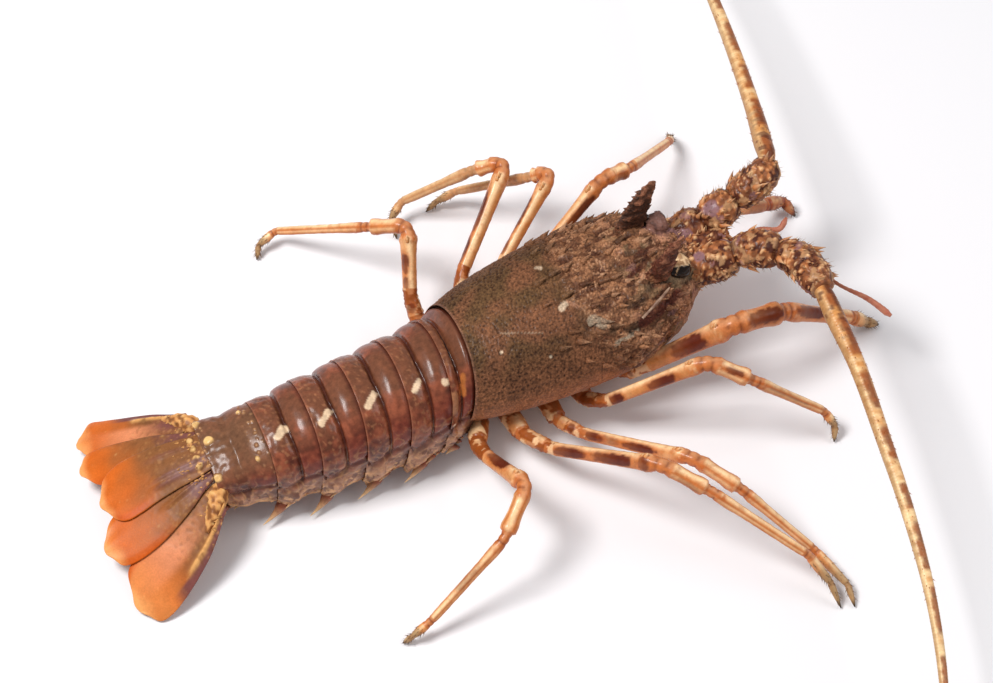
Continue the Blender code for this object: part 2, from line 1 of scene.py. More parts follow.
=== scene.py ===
"""The look of a whole spiny lobster lying on a white table.

Every piece is made in the working axes of the body, in millimetres: x to the head,
y to the animal's left, z up from the table. It moves to the frame, in metres, when
its mesh is made. Colours are stored on the points of each piece, as Tint and Rough,
and the materials add the fine grain.
"""
import math
import random

import bmesh
import bpy
import numpy as np
from mathutils import Matrix, Vector, noise


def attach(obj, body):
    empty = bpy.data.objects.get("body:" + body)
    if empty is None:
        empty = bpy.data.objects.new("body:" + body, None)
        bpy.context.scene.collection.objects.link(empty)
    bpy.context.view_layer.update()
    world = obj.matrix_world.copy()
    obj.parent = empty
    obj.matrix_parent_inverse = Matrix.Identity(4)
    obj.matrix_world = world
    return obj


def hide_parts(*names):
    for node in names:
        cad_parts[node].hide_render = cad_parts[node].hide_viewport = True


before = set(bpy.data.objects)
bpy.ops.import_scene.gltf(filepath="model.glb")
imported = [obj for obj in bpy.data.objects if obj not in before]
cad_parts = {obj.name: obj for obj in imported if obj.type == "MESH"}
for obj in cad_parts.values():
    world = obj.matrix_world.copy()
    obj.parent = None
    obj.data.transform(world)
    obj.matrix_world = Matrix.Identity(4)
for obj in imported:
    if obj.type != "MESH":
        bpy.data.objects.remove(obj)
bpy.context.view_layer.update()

MM = 0.001
SEED = 41
SHINE = 0.12  # specular level of every shell
ORIGIN = np.array((45, 3, 0))

# Sideways bend of the body's middle line: (x, y)
BODY_LINE = [(-170, 1), (-120, 1), (-95, -3.5), (-60, -4.5), (-20, -3), (0, 0),
             (30, 2), (60, 3.7), (90, 4.8), (125, 5)]

# Head shell sections: x, half width, crest height, height of widest line, keel height
CARAPACE = [(0, 29, 60, 33, 10), (5, 30.8, 61, 33, 7), (12, 33, 62, 33, 0),
            (22, 35.2, 63.2, 33, 0), (34, 37, 64.4, 33, 0), (46, 38.3, 65.4, 34, 0),
            (58, 39, 66.2, 35, 0), (70, 39, 67, 36, 0), (80, 38, 67.4, 38, 0),
            (90, 35, 67.6, 41, 3), (99, 31, 67, 43, 8), (107, 26.5, 65, 45, 15),
            (114, 21.5, 61.5, 46, 23), (119, 17, 57.5, 46, 30)]
SHELL_STEP = 0.4  # spacing of the rings of the head shell
SHELL_COUNTS = (100, 12)  # points from crest to rim and from rim to keel, on one side
LOWER_RIM_Z = 25
LOWER_RIM_INSET = 0.88
KEEL_HALF_WIDTH = 8
SIDE_POWER = 0.94  # a power below 1 makes the section fuller than an ellipse
CREST_POWER = 0.92
REAR_LEAN = 0.25
REAR_LEAN_LENGTH = 26
LEAN_Z = 42  # height at which a leaning rim crosses its x
GROOVE_X = 55  # neck groove on the crest
GROOVE_SWEEP = 24  # how far forward the groove has run at the rim

# Rows of shell spines: angle from the crest, front x, rear x, pitch, spine length
SPINE_ROWS = [(9, 98, 40, 9, 4.6), (22, 92, 60, 9.5, 3.4), (34, 101, 44, 8.5, 4.4),
              (47, 104, 40, 8.5, 4.2), (60, 106, 48, 8.5, 3.8), (73, 104, 56, 8.5, 3.6),
              (84, 100, 62, 9, 3)]
HORN_BASE_X = 96
HORN_SIDE = 14.5
HORN_TIP = (106, 16.5, 92)
EYE_CENTRE = (108.3, 12.6, 62)
EYE_RADIUS = 5.8
EYE_SIDES = {"eye_L": 1, "eye_R": -1}

# Tail rings: x of the front rim, half width, crest height, skirt height
TAIL_RIMS = [(-0.5, 27.5, 57, 14), (-11, 28.5, 57, 12), (-31, 27.5, 56, 12.5),
             (-52, 26, 54.5, 13), (-73, 24.5, 51, 13), (-94, 22, 45.5, 14),
             (-120, 18.5, 36.5, 16)]
TAIL_LEAN = [0.25, 0.22, 0.18, 0.14, 0.1, 0.06, 0]
RIM_GAP = 0.5
SKIRT_SPINE = [3, 7, 7.5, 7.5, 7, 4.5]
HOOK_SHARE = [0.7, 0.66, 0.75, 0.86, 0.86, 0.84]
TAIL_PROFILE = [(0, 0.982), (0.12, 0.992), (0.28, 0.99), (0.4, 0.968), (0.5, 0.948),
                (0.6, 0.97), (0.75, 0.99), (0.9, 0.996), (1, 0.995)]
TAIL_COUNTS = (84, 10)  # points from crest to skirt and from skirt to keel
TAIL_STEP = 0.4
FIRST_COLLAR = 0.055  # extra swell of the first ring under the head shell
TAIL_TUCK = 2.6  # how far a ring runs in under the one before it

# Tail fan: a shared arched surface, with the blades stacked on it
FAN_BASE_X = -121.3
FAN_BASE_Z = 32.5
FAN_SLOPE = 0.34
FAN_ARCH = 0.005
BLADE_THICK = 1.2
BLADE_ROWS, BLADE_COLUMNS = 120, 61
BLADE_STACK = 1.6
BLADE_BOW = 2
BLADES = {
    "telson": (1,
               [(-121.3, 10.5), (-127, 13), (-136, 15.8), (-145, 17.6), (-153, 18.3),
                (-160, 17), (-165.3, 13.3), (-168.2, 6.5)],
               [(-121.3, -8.5), (-128, -9), (-137, -9), (-146, -9.6), (-154, -10.6),
                (-161, -10.6), (-165.5, -7.6), (-168.2, -1.5)]),
    "uropod_inner_R": (0,
                       [(-122, -6), (-128, -4.5), (-135, -3.5), (-144, -2.5), (-153, -2),
                        (-162, -3), (-169, -6.5), (-173.3, -13)],
                       [(-122, -13), (-127, -16), (-133, -19.6), (-143, -24), (-152, -27),
                        (-162, -28.5), (-169.5, -27.3), (-173.3, -21.5)]),
    "uropod_inner_L": (0,
                       [(-122, 14), (-128, 18), (-137, 23.5), (-147, 28), (-156, 31.5),
                        (-163, 33.5), (-168, 33), (-171, 29)],
                       [(-122, 6), (-130, 5), (-138, 5), (-147, 6), (-156, 8), (-163, 11),
                        (-168, 15), (-171, 21)]),
    "uropod_outer_R": (-1,
                       [(-121.8, -13.5), (-127, -15), (-134, -17.5), (-143, -20.5),
                        (-152, -22), (-161, -24.5), (-168.8, -30), (-170.3, -40)],
                       [(-121.8, -27.5), (-126.5, -34.5), (-133, -41), (-141, -46.5),
                        (-149, -51), (-156.5, -54), (-162.8, -54.3), (-167.6, -49.5)]),
    "uropod_outer_L": (-1,
                       [(-121.8, 27), (-127, 31.5), (-133, 36.5), (-140, 41), (-147, 45.3),
                        (-154, 49.8), (-160.2, 53.2), (-165.6, 48)],
                       [(-121.8, 17), (-128, 18), (-135, 20), (-143, 23), (-151, 26),
                        (-159, 29), (-166, 33), (-169, 40)]),
}

# Walking legs: hip on the body, hip end, thigh start, knee, wrist, end of the hand,
# claw bend, claw tip
LEG_JOINTS = {
    "leg_R5": [(4, -22, 16), (-2.5, -36.5, 22), (-3, -46, 28), (4.4, -76.4, 45),
               (-13.7, -93.5, 37), (-54.3, -105.3, 10), (-63.5, -106.6, 5), (-67.7, -106, 1)],
    "leg_R4": [(18, -22, 15), (19.5, -38, 18), (27, -52, 23), (62, -93, 50.5),
               (78.4, -110.4, 43), (111.4, -144.1, 18.5), (117.6, -156.4, 8.5),
               (118.6, -166.4, 1)],
    "leg_R3": [(37, -20, 14), (38, -36, 15), (44.5, -48.5, 19), (78.5, -91.2, 42),
               (94.4, -110.6, 33.5), (118.3, -138.6, 8.5), (125.5, -158.6, 4.5),
               (124.5, -168.4, 1)],
    "leg_R2": [(53, -18, 13), (54, -31, 16), (60.5, -38.5, 22), (102.2, -54, 53),
               (120.1, -67.4, 45), (152.8, -78.4, 14), (156.5, -84, 7), (154.3, -88.8, 1)],
    "leg_R1": [(71, -13, 11), (77, -24, 17), (84, -28, 23), (122.4, -39.2, 50),
               (149.7, -37.3, 42), (187.5, -37.4, 14), (196, -38.2, 5.5), (202.5, -39.6, 1.5)],
    "leg_L5": [(4, 23, 16), (-2.5, 37, 22), (-2, 46, 29), (7.3, 70.4, 48),
               (-8.8, 83.7, 38), (-44, 117, 10), (-53.5, 115, 6), (-56.4, 110.6, 1)],
    "leg_L4": [(18, 27, 15), (20, 40, 19), (26, 50, 26), (64.3, 86.3, 48),
               (48.4, 93, 40), (17.4, 106.6, 14), (10.5, 103, 8), (10.4, 95.6, 1)],
    "leg_L3": [(37, 28, 14), (39.5, 41, 18), (46, 49, 24), (82, 72.6, 48),
               (71.5, 79, 40), (44.8, 103.3, 12), (35.5, 106, 5), (29.3, 104.8, 1)],
    "leg_L2": [(54, 28, 13), (58, 41, 18), (66, 47, 24), (100.7, 58.9, 48),
               (118.1, 63.7, 42), (151.2, 88.5, 14), (156.5, 95, 6), (157, 101, 1)],
    "leg_L1": [(71, 23, 11), (77, 32, 17), (86, 34, 22), (129, 26, 40),
               (150, 29, 36), (178, 36.3, 14), (190.1, 38.5, 8), (193.8, 31.9, 1.5)],
}
LEG_RADII = {"1": (5.4, 5.1, 4.4), "2": (3.8, 3.9, 2.7), "3": (3.5, 3.5, 2.6),
             "4": (3.9, 3.6, 2.7), "5": (4.1, 3.6, 2.5)}
LEG_SIDES = 30
STEM_ROWS, STEM_SIDES = 190, 72
FEELER_ROWS, FEELER_SIDES = 900, 18
ROD_ROWS, ROD_SIDES = 160, 16
HIP_RADIUS = 5.2
JOINT_TRIM = [2, 3.5, 5.5, 4, 3, 1.6]

# Dark patches of the legs: stretch, start and end share, turn from the top towards the
# head, half width of the patch in degrees, darkness
LEG_PATCHES = {
    "leg_R5": [(2, 0.08, 0.66, 5, 62, 1), (4, 0.3, 0.62, 0, 60, 0.35)],
    "leg_R4": [(2, 0, 0.33, -52, 50, 1), (2, 0.42, 0.83, -52, 50, 1),
               (2, 0.93, 0.98, -50, 60, 0.8), (3, 0.2, 0.9, -80, 40, 0.4)],
    "leg_R3": [(1, 0.6, 1, -40, 50, 0.8), (2, 0, 0.16, -45, 45, 1),
               (2, 0.16, 0.34, -45, 40, 0.5), (2, 0.4, 0.74, -52, 40, 1)],
    "leg_R2": [(2, 0, 0.12, -60, 55, 1), (2, 0.46, 0.75, -60, 48, 1),
               (3, 0.2, 0.8, -30, 26, 0.85), (4, 0.02, 0.8, -52, 16, 0.4)],
    "leg_R1": [(2, 0.33, 0.8, -42, 62, 1), (3, 0, 1, 34, 50, 0.95),
               (4, 0.02, 0.62, -32, 50, 1),
               (1, 0.2, 0.8, -40, 60, 0.6)],
    "leg_L5": [(1, 0.2, 1, -30, 40, 0.7), (2, 0, 0.2, -35, 34, 0.75),
               (2, 0.31, 0.66, -40, 42, 0.9)],
    "leg_L4": [(2, 0, 0.3, -55, 40, 1), (2, 0.36, 0.78, -50, 42, 1)],
    "leg_L3": [(2, 0.3, 0.78, -58, 40, 1), (2, 0, 0.2, -50, 40, 0.8)],
    "leg_L2": [(2, 0.3, 0.93, 62, 42, 0.9), (3, 0.2, 0.9, 70, 40, 0.6)],
    "leg_L1": [(2, 0.2, 0.7, -60, 80, 1), (4, 0.5, 1, 0, 180, 0.45)],
}
LEG_RED_CLAW = "leg_L1"  # this leg ends in a red-brown hand and claw
LEG_PALE_HANDS = ("leg_L3", "leg_L4")

# Antenna stems and feelers
STEM_LINES = {
    "antenna_base_L": [(111, 13.5, 48), (125.2, 15, 52), (134.9, 15.2, 56),
                       (143.1, 15.6, 60), (152.7, 17.1, 64), (160.4, 17.9, 67),
                       (165.4, 20.4, 69), (168, 24.5, 70)],
    "antenna_base_R": [(111, -4, 48), (125.5, -5.6, 51), (135.8, -7.1, 54), (145.3, -9.8, 58),
                       (154.4, -17.7, 61), (160.1, -26.3, 63.5), (162.2, -36.9, 65.5),
                       (161.6, -47, 66.5)],
}
STEM_RADII = [(0, 8.6), (0.14, 8.9), (0.3, 8.7), (0.36, 7.2), (0.42, 8.2), (0.56, 8.2),
              (0.62, 6.6), (0.68, 7.6), (0.82, 7.9), (0.94, 7), (1, 5.4)]
FEELER_LINES = {
    "flagellum_L": [(171.6, 34.3, 69.1), (174.2, 43.5, 67.8),
                    (180.5, 69.2, 64.2), (186.2, 95.9, 60.6), (191.4, 123.4, 57),
                    (196, 152, 53), (199.5, 188, 48), (201, 226, 42.5), (199.5, 262, 37),
                    (195.5, 296, 32), (189, 328, 27)],
    "flagellum_R": [(160.6, -60.9, 66.2), (158.9, -85.2, 65),
                    (152.9, -125.4, 62.2), (146.2, -163.9, 59.5), (137.5, -200.4, 56.8),
                    (125.5, -234.7, 54), (110, -268, 49), (91, -299, 44),
                    (69, -327, 38.5), (46, -350, 33)],
}
FEELER_RADII = [(0, 4.5), (0.02, 4.9), (0.12, 4.4), (0.3, 3.6), (0.5, 2.6), (0.7, 1.7),
                (0.85, 1.1), (1, 0.5)]
FEELER_SLIM = 0.88  # the ringed skin is this share of the solid's thickness
FEELER_ROOT = 2.6
CLEARANCE = 0.4
SMALL_FEELERS = {
    "antennule_R": ([(112, 1.5, 38), (130, 2, 38), (148, 0.1, 40), (162, -8.2, 41),
                     (173.3, -18.6, 42), (179.2, -33.7, 42), (190, -45.7, 39),
                     (196, -56, 36.5)], 1.3),
    "antennule_L": ([(112, 8, 38), (130, 8.5, 39), (146.6, 8, 42), (158, 6.5, 44.5),
                     (167, 2.5, 46), (171.5, 5.5, 48)], 1.3),
    "palp_R": ([(82, -27, 62.6), (88, -24.5, 64.2), (94, -21.5, 65), (99.5, -18, 64.6)], 0.9),
}
ROD_SHAPES = {
    "antennule_R": [(0, 1), (0.5, 0.62), (0.78, 0.66), (0.88, 1), (0.975, 1.25), (1, 0.6)],
    "antennule_L": [(0, 0.9), (0.5, 0.65), (0.82, 1), (0.96, 1.1), (1, 0.5)],
    "palp_R": [(0, 0.7), (0.3, 0.6), (0.5, 0.9), (0.62, 0.7), (0.9, 0.6), (1, 0.3)],
}
PALP_ROOM = 9  # no large spine stands nearer to the cheek feeler
SMALL_SPINES = 230

# The camera stands where the photograph's did: it looks at a point of the body
LOOK_AT = (24.8, 6, 30)
VIEW_AZIMUTH = -23
VIEW_ELEVATION = 58
VIEW_DISTANCE = 1250
LENS = 98.34
SENSOR = 36


def paint(red, green, blue):
    """A colour named by its display values, as the linear numbers a shader takes."""
    value = np.array((red, green, blue), float) / 255
    return np.where(value <= 0.04045, value / 12.92, ((value + 0.055) / 1.055) ** 2.4)


def mix(first, second, share):
    """The first colour where share is 0, the second where it is 1."""
    share = np.clip(share, 0, 1)[..., None]
    return first * (1 - share) + second * share


def layered(tints, layers):
    """Colours laid over tints one after another, each as (colour, share)."""
    for colour, share in layers:
        tints = mix(tints, colour, share)
    return tints


def ramp(value, low, high):
    """0 below low, 1 above high and a soft step between them."""
    share = np.clip((value - low) / (high - low), 0, 1)
    return share * share * (3 - 2 * share)


def fade(value, low, high):
    """1 below low, 0 above high and a soft step between them."""
    return 1 - ramp(value, low, high)


def hump(value, centre, width):
    """1 at the centre, falling off smoothly to both sides."""
    return np.exp(-((value - centre) / width) ** 2)


def curve(table, x, column=1):
    """Smooth value at x of one column of a table sorted by its first column."""
    rows = sorted(table)
    xs = np.array([row[0] for row in rows], float)
    ys = np.array([row[column] for row in rows], float)
    slopes = np.gradient(ys, xs)
    x = np.clip(x, xs[0], xs[-1])
    k = np.clip(np.searchsorted(xs, x, side="right") - 1, 0, len(xs) - 2)
    span = xs[k + 1] - xs[k]
    t = (x - xs[k]) / span
    start = (2 * t ** 3 - 3 * t ** 2 + 1) * ys[k] + (t ** 3 - 2 * t ** 2 + t) * span * slopes[k]
    end = (3 * t ** 2 - 2 * t ** 3) * ys[k + 1] + (t ** 3 - t ** 2) * span * slopes[k + 1]
    return start + end


def body_y(x):
    """Sideways place of the body's middle line at x."""
    return np.interp(x, [row[0] for row in BODY_LINE], [row[1] for row in BODY_LINE])


def noise_values(points, size, seed, start, pick):
    """What pick gives at each point, for noise with lumps of one size in millimetres."""
    shift = Vector([seed * step + first for step, first in zip((7.3, 3.1, 5.7), start)])
    return np.array([pick(Vector(p) + shift) for p in (points.reshape(-1, 3) / size).tolist()])


def cloud(points, size, seed=0):
    """Smooth noise, about -1 to 1."""
    values = noise_values(points, size, seed, (0.37, 0.21, 0.53), noise.noise)
    return values.reshape(points.shape[:-1])


def grains(points, size, seed=0):
    """Distance to the nearest of scattered seeds: 0 on a seed, about 0.7 between them."""
    values = noise_values(points, size, seed, (0, 0, 0), lambda p: noise.voronoi(p)[0][0])
    return values.reshape(points.shape[:-1])


def patches(points, size, seed=0):
    """A random share from 0 to 1 that stays the same inside each cell."""
    seeds = noise_values(points, size, seed, (0, 0, 0), lambda p: noise.voronoi(p)[1][0])
    share = np.sin(seeds @ np.array((12.99, 78.23, 37.72))) * 437.58
    return (share - np.floor(share)).reshape(points.shape[:-1])


def lumps_of(points, mottle):
    """Rounded lumps, 1 at their tops, in the grain that stems and their plate share."""
    return fade(grains(points + mottle[..., None], 2.8, 90), 0.1, 0.65)


def away_from(place, start, end, radius):
    """Distance of each point from the line between two spots, in shares of a radius."""
    line = end - start
    along = np.clip((place - start) @ line / max(line @ line, 1e-6), 0, 1)
    return np.linalg.norm(place - start - along[..., None] * line, axis=-1) / radius


def turn_gap(turn, centre):
    """Angle between turns round a limb, the short way, in degrees."""
    return np.abs((turn - centre + 180) % 360 - 180)


def unit(vectors):
    """The same directions with a length of 1."""
    return vectors / np.maximum(np.linalg.norm(vectors, axis=-1, keepdims=True), 1e-9)


def lattice_normals(points, centre):
    """Outward directions of a closed lattice of rings, away from the rings' centres."""
    along = np.gradient(points, axis=0)
    across = np.roll(points, -1, axis=1) - np.roll(points, 1, axis=1)
    out = unit(np.cross(along, across))
    away = points - centre[:, None, :]
    sign = np.sign(np.sum(out * away, axis=(1, 2)))
    return out * sign[:, None, None]


class Skin:
    """Points, faces, colours and roughness of one piece while it is put together."""

    def __init__(self):
        self.points = []
        self.faces = []
        self.tints = []
        self.rough = []
        self.count = 0

    def add(self, points, faces, tints, rough=0.5):
        """More points and faces, with one colour for all or one for each."""
        points = np.asarray(points, float).reshape(-1, 3)
        size = len(points)
        self.points.append(points)
        self.faces += [tuple(corner + self.count for corner in face) for face in faces]
        self.tints.append(np.broadcast_to(np.reshape(tints, (-1, 3)), (size, 3)))
        self.rough.append(np.broadcast_to(np.reshape(rough, -1), size))
        self.count += size

    def add_rings(self, points, tints, rough=0.5):
        """A closed lattice: rows of equal rings, with both ends capped."""
        self.add(points, ring_faces(*points.shape[:2]), tints, rough)

    def make(self, name, material, slot, *nodes):
        """The finished piece, which stands for the named nodes and rides on the body."""
        mesh = bpy.data.meshes.new(name)
        places = (np.concatenate(self.points) - ORIGIN) * MM
        mesh.from_pydata(places.tolist(), [], self.faces)
        tint = mesh.attributes.new("Tint", "FLOAT_COLOR", "POINT")
        colours = np.ones((self.count, 4))
        colours[:, :3] = np.clip(np.concatenate(self.tints), 0, 1)
        tint.data.foreach_set("color", colours.ravel())
        rough = mesh.attributes.new("Rough", "FLOAT", "POINT")
        rough.data.foreach_set("value", np.concatenate(self.rough))
        work = bmesh.new()
        work.from_mesh(mesh)
        bmesh.ops.recalc_face_normals(work, faces=work.faces)
        work.to_mesh(mesh)
        work.free()
        mesh.shade_smooth()
        mesh.materials.append(material)
        piece = bpy.data.objects.new(name, mesh)
        bpy.context.scene.collection.objects.link(piece)
        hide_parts(*nodes)
        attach(piece, "root")
        return piece


def ring_faces(rows, columns):
    """Faces of a closed lattice of rings, with both ends capped."""
    index = np.arange(rows * columns).reshape(rows, columns)
    beside = np.roll(index, -1, axis=1)
    quads = np.stack((index[:-1], index[1:], beside[1:], beside[:-1]), axis=-1)
    faces = quads.reshape(-1, 4).tolist()
    faces.append(index[0].tolist())
    faces.append(index[-1].tolist())
    return faces


def sweep(centres, radii, sides):
    """Rings round a line. Also gives the outward directions and the turn of each point,
    in degrees, from the top towards the side that faces +x."""
    centres = np.asarray(centres, float)
    tangents = unit(np.gradient(centres, axis=0))
    across = [np.cross(tangents[0], (0, 0, 1))]
    for tangent in tangents:
        side = across[-1] - tangent * np.dot(across[-1], tangent)
        across.append(side / np.linalg.norm(side))
    across = np.array(across[1:])
    upper = np.cross(across, tangents)
    angles = np.linspace(0, 2 * math.pi, sides, endpoint=False)
    out = (across[:, None, :] * np.cos(angles)[None, :, None]
           + upper[:, None, :] * np.sin(angles)[None, :, None])
    reach = np.asarray(radii, float).reshape(-1, 1, 1)
    points = centres[:, None, :] + out * reach
    top = unit(np.array((0, 0, 1)) - tangents * tangents[:, 2:3])
    fore = np.cross(tangents, top)
    fore *= np.where(fore[:, 0:1] < 0, -1, 1)
    turn = np.degrees(np.arctan2(np.sum(out * fore[:, None, :], axis=2),
                                 np.sum(out * top[:, None, :], axis=2)))
    return points, out, turn


def smooth_path(points, count):
    """Evenly spaced points along a smooth curve through the given ones."""
    spots = np.array(points, float)
    steps = np.linalg.norm(np.diff(spots, axis=0), axis=1)
    reach = np.concatenate(([0], np.cumsum(steps)))
    goal = np.linspace(0, reach[-1], count)
    columns = [curve(list(zip(reach, spots[:, k])), goal) for k in range(3)]
    return np.stack(columns, axis=1)


def pick_points(rng, count, rows, columns):
    """Row and column numbers of random points of a lattice."""
    picks = [(rng.randrange(*rows), rng.randrange(columns)) for _ in range(count)]
    return tuple(np.array(picks).T)


def draws(rng, low, high, items):
    """One random number for each item."""
    return np.array([rng.uniform(low, high) for _ in items])


def add_spines(skin, roots, aims, lengths, widths, low, high, sides=6, bend=0, rough=0.5):
    """Pointed, slightly curved spines standing on a surface; low and high are the
    colours of foot and tip."""
    roots = np.asarray(roots, float).reshape(-1, 3)
    aims = unit(np.asarray(aims, float).reshape(-1, 3))
    lengths = np.asarray(lengths, float)
    widths = np.asarray(widths, float)
    helper = np.where(np.abs(aims[:, 2:3]) < 0.9, (0, 0, 1), (1, 0, 0))
    across = unit(np.cross(aims, helper))
    other = np.cross(aims, across)
    angles = np.linspace(0, 2 * math.pi, sides, endpoint=False)
    levels = [(-0.25, 1.05), (0, 1), (0.3, 0.66), (0.68, 0.3), (1, 0.03)]
    bend = np.broadcast_to(bend, roots.shape)
    rings = []
    shades = []
    for level, width in levels:
        centre = roots + aims * (lengths * level)[:, None]
        centre = centre + bend * (lengths * max(level, 0) ** 2)[:, None]
        wheel = (across[:, None, :] * np.cos(angles)[None, :, None]
                 + other[:, None, :] * np.sin(angles)[None, :, None])
        rings.append(centre[:, None, :] + wheel * (widths * width)[:, None, None])
        low_tint = np.broadcast_to(low, roots.shape)
        high_tint = np.broadcast_to(high, roots.shape)
        tint = low_tint + (high_tint - low_tint) * max(level, 0) ** 1.3
        shades.append(np.repeat(tint[:, None, :], sides, axis=1))
    points = np.stack(rings, axis=1)
    tints = np.stack(shades, axis=1)
    one = ring_faces(len(levels), sides)
    size = len(levels) * sides
    faces = [[corner + n * size for corner in face] for n in range(len(roots)) for face in one]
    skin.add(points, faces, tints, rough)


class Graph:
    """The shader nodes of one material, with short calls for those that repeat."""

    def __init__(self, material):
        material.use_nodes = True
        self.nodes = material.node_tree.nodes
        self.links = material.node_tree.links
        self.shader = self.nodes["Principled BSDF"].inputs
        self.place = self.nodes.new("ShaderNodeTexCoord").outputs["Object"]

    def stored(self, attribute, output):
        """What is stored on the points under one name."""
        node = self.nodes.new("ShaderNodeAttribute")
        node.attribute_name = attribute
        return node.outputs[output]

    def texture(self, kind, size):
        """A texture with lumps of one size in millimetres."""
        node = self.nodes.new(kind)
        self.links.new(self.place, node.inputs["Vector"])
        node.inputs["Scale"].default_value = 1 / (size * MM)
        if kind == "ShaderNodeTexNoise":
            node.inputs["Detail"].default_value = 3
        return node

    def span(self, source, low, high):
        """A value from 0 to 1, stretched to run from low to high."""
        node = self.nodes.new("ShaderNodeMapRange")
        self.links.new(source, node.inputs["Value"])
        node.inputs["To Min"].default_value = low
        node.inputs["To Max"].default_value = high
        return node.outputs["Result"]

    def maths(self, kind, *values):
        """Sum or product of values, each another node's output or a float."""
        node = self.nodes.new("ShaderNodeMath")
        node.operation = kind
        for socket, value in zip(node.inputs, values):
            if isinstance(value, float):
                socket.default_value = value
            else:
                self.links.new(value, socket)
        return node.outputs[0]

    def scaled(self, colour, factor):
        """A colour made lighter or darker by a factor."""
        node = self.nodes.new("ShaderNodeVectorMath")
        node.operation = "SCALE"
        self.links.new(colour, node.inputs[0])
        self.links.new(factor, node.inputs["Scale"])
        return node.outputs[0]

    def bump(self, height, depth):
        """The surface direction over bumps of a depth in millimetres."""
        node = self.nodes.new("ShaderNodeBump")
        node.inputs["Distance"].default_value = depth * MM
        node.inputs["Strength"].default_value = 1
        self.links.new(height, node.inputs["Height"])
        return node.outputs["Normal"]


def node_material(name, grain, depth, coat, cloud_size=6, cloud_share=0.35, pores=0):
    """A shell: stored colours, broken up by soft clouds and fine grain, with a bump."""
    material = bpy.data.materials.new(name)
    graph = Graph(material)
    graph.shader["Specular IOR Level"].default_value = SHINE
    graph.shader["Coat Weight"].default_value = coat
    graph.shader["Coat Roughness"].default_value = 0.2
    clouds = graph.texture("ShaderNodeTexNoise", cloud_size).outputs["Fac"]
    fine = graph.texture("ShaderNodeTexNoise", grain).outputs["Fac"]
    cells = graph.texture("ShaderNodeTexVoronoi", grain * 1.6).outputs["Distance"]
    level = graph.maths("MULTIPLY", graph.span(clouds, 1 - cloud_share, 1 + cloud_share),
                        graph.span(fine, 0.8 - 0.6 * pores, 1.2 + 0.6 * pores))
    seams = graph.maths("MULTIPLY", level, graph.span(cells, 1 + 0.3 * pores, 1 - 0.6 * pores))
    uneven = graph.maths("MULTIPLY", graph.stored("Rough", "Fac"), graph.span(fine, 0.75, 1.25))
    height = graph.maths("MULTIPLY_ADD", cells, -float(pores), fine)
    for socket, source in (("Base Color", graph.scaled(graph.stored("Tint", "Color"), seams)),
                           ("Roughness", uneven), ("Normal", graph.bump(height, depth))):
        graph.links.new(source, graph.shader[socket])
    return material


# Colours of the head shell
# darkest shell colour: dark patches, and painted shade in the pits and the rear recess
SHELL_DARK_AND_PIT_SHADE = paint(54, 30, 18)
SHELL_GRAIN = paint(140, 92, 62)
SHELL_OLIVE = paint(118, 86, 54)
SHELL_SIDE = paint(172, 110, 74)
SHELL_FRONT = paint(172, 120, 84)
SHELL_FRONT_DARK = paint(82, 46, 30)
SHELL_DULL = paint(122, 106, 78)
SHELL_BAND = paint(78, 32, 22)
SHELL_TIP = paint(200, 152, 116)
SHELL_RIM = paint(150, 104, 84)
SHELL_BLACK = paint(40, 30, 20)
SHELL_BELOW = paint(150, 104, 78)
CHEEK = paint(196, 140, 108)
CREAM = paint(236, 208, 176)
CHALK = paint(190, 174, 150)
ORBIT = paint(164, 140, 110)
MAUVE = paint(142, 104, 108)
HORN_DARK = paint(70, 50, 42)
HORN_MAROON = paint(104, 54, 40)
HORN_TAN = paint(156, 102, 76)

# Marks of the head shell: x and angle from the crest of both ends, radius, colour, strength. The
# SHELL_BAND mark from x 84 to 112 is the right horn's shadow, painted on the shell.
SHELL_MARKS = [(19, -16, 28.5, -21.5, 0.45, CREAM, 0.26), (28.5, -21.5, 38, -28, 0.45, CREAM, 0.26),
               (50, 16, 48, 18, 1, CREAM, 0.6),
               (50, -17, 53, -15, 1.5, CREAM, 0.85), (54, -14, 57, -20, 1.2, CHEEK, 0.6),
               (61, -33, 66, -41, 2.4, CHALK, 0.55), (16, -30, 16, -30, 0.8, CREAM, 0.9),
               (38, -47, 38, -47, 0.7, CHALK, 0.7), (68, -58, 80, -57, 1.2, CHALK, 0.7),
               (68, -46, 69, -46, 2.6, SHELL_BLACK, 0.7), (76, -53, 80, -53, 2.6, SHELL_BLACK, 0.75),
               # the second mark on this row, from x 84 to 112, is a painted shadow of the right horn
               (83, -54, 104, -55, 2.6, SHELL_BAND, 0.9), (84, -17, 112, 3, 1.7, SHELL_BAND, 0.85),
               (86, -24, 97, -18, 0.9, SHELL_TIP, 0.55), (90, -3, 96, -3, 4, SHELL_BAND, 0.4),
               (97, 6, 99, 4, 2.4, SHELL_TIP, 0.6), (107, 6, 110, 3, 2.4, CHEEK, 0.8),
               (114, 20, 117, 10, 2.2, MAUVE, 0.7), (88, -36, 92, -30, 2.2, SHELL_BLACK, 0.6),
               (78, -34, 86, -40, 1.8, SHELL_BLACK, 0.5), (106, -66, 113, -60, 3.4, CHEEK, 0.5),
               (79, -68, 90, -70, 2.2, SHELL_TIP, 0.4), (98, -32, 101, -34, 1.9, SHELL_BLACK, 0.9),
               (113, -50, 115, -48, 1.7, SHELL_BLACK, 0.9)]


def eye_centre(side):
    """Middle of the eye on one side: 1 is the left, -1 the right."""
    x, offset, z = EYE_CENTRE
    return np.array((x, float(body_y(x)) + side * offset, z))


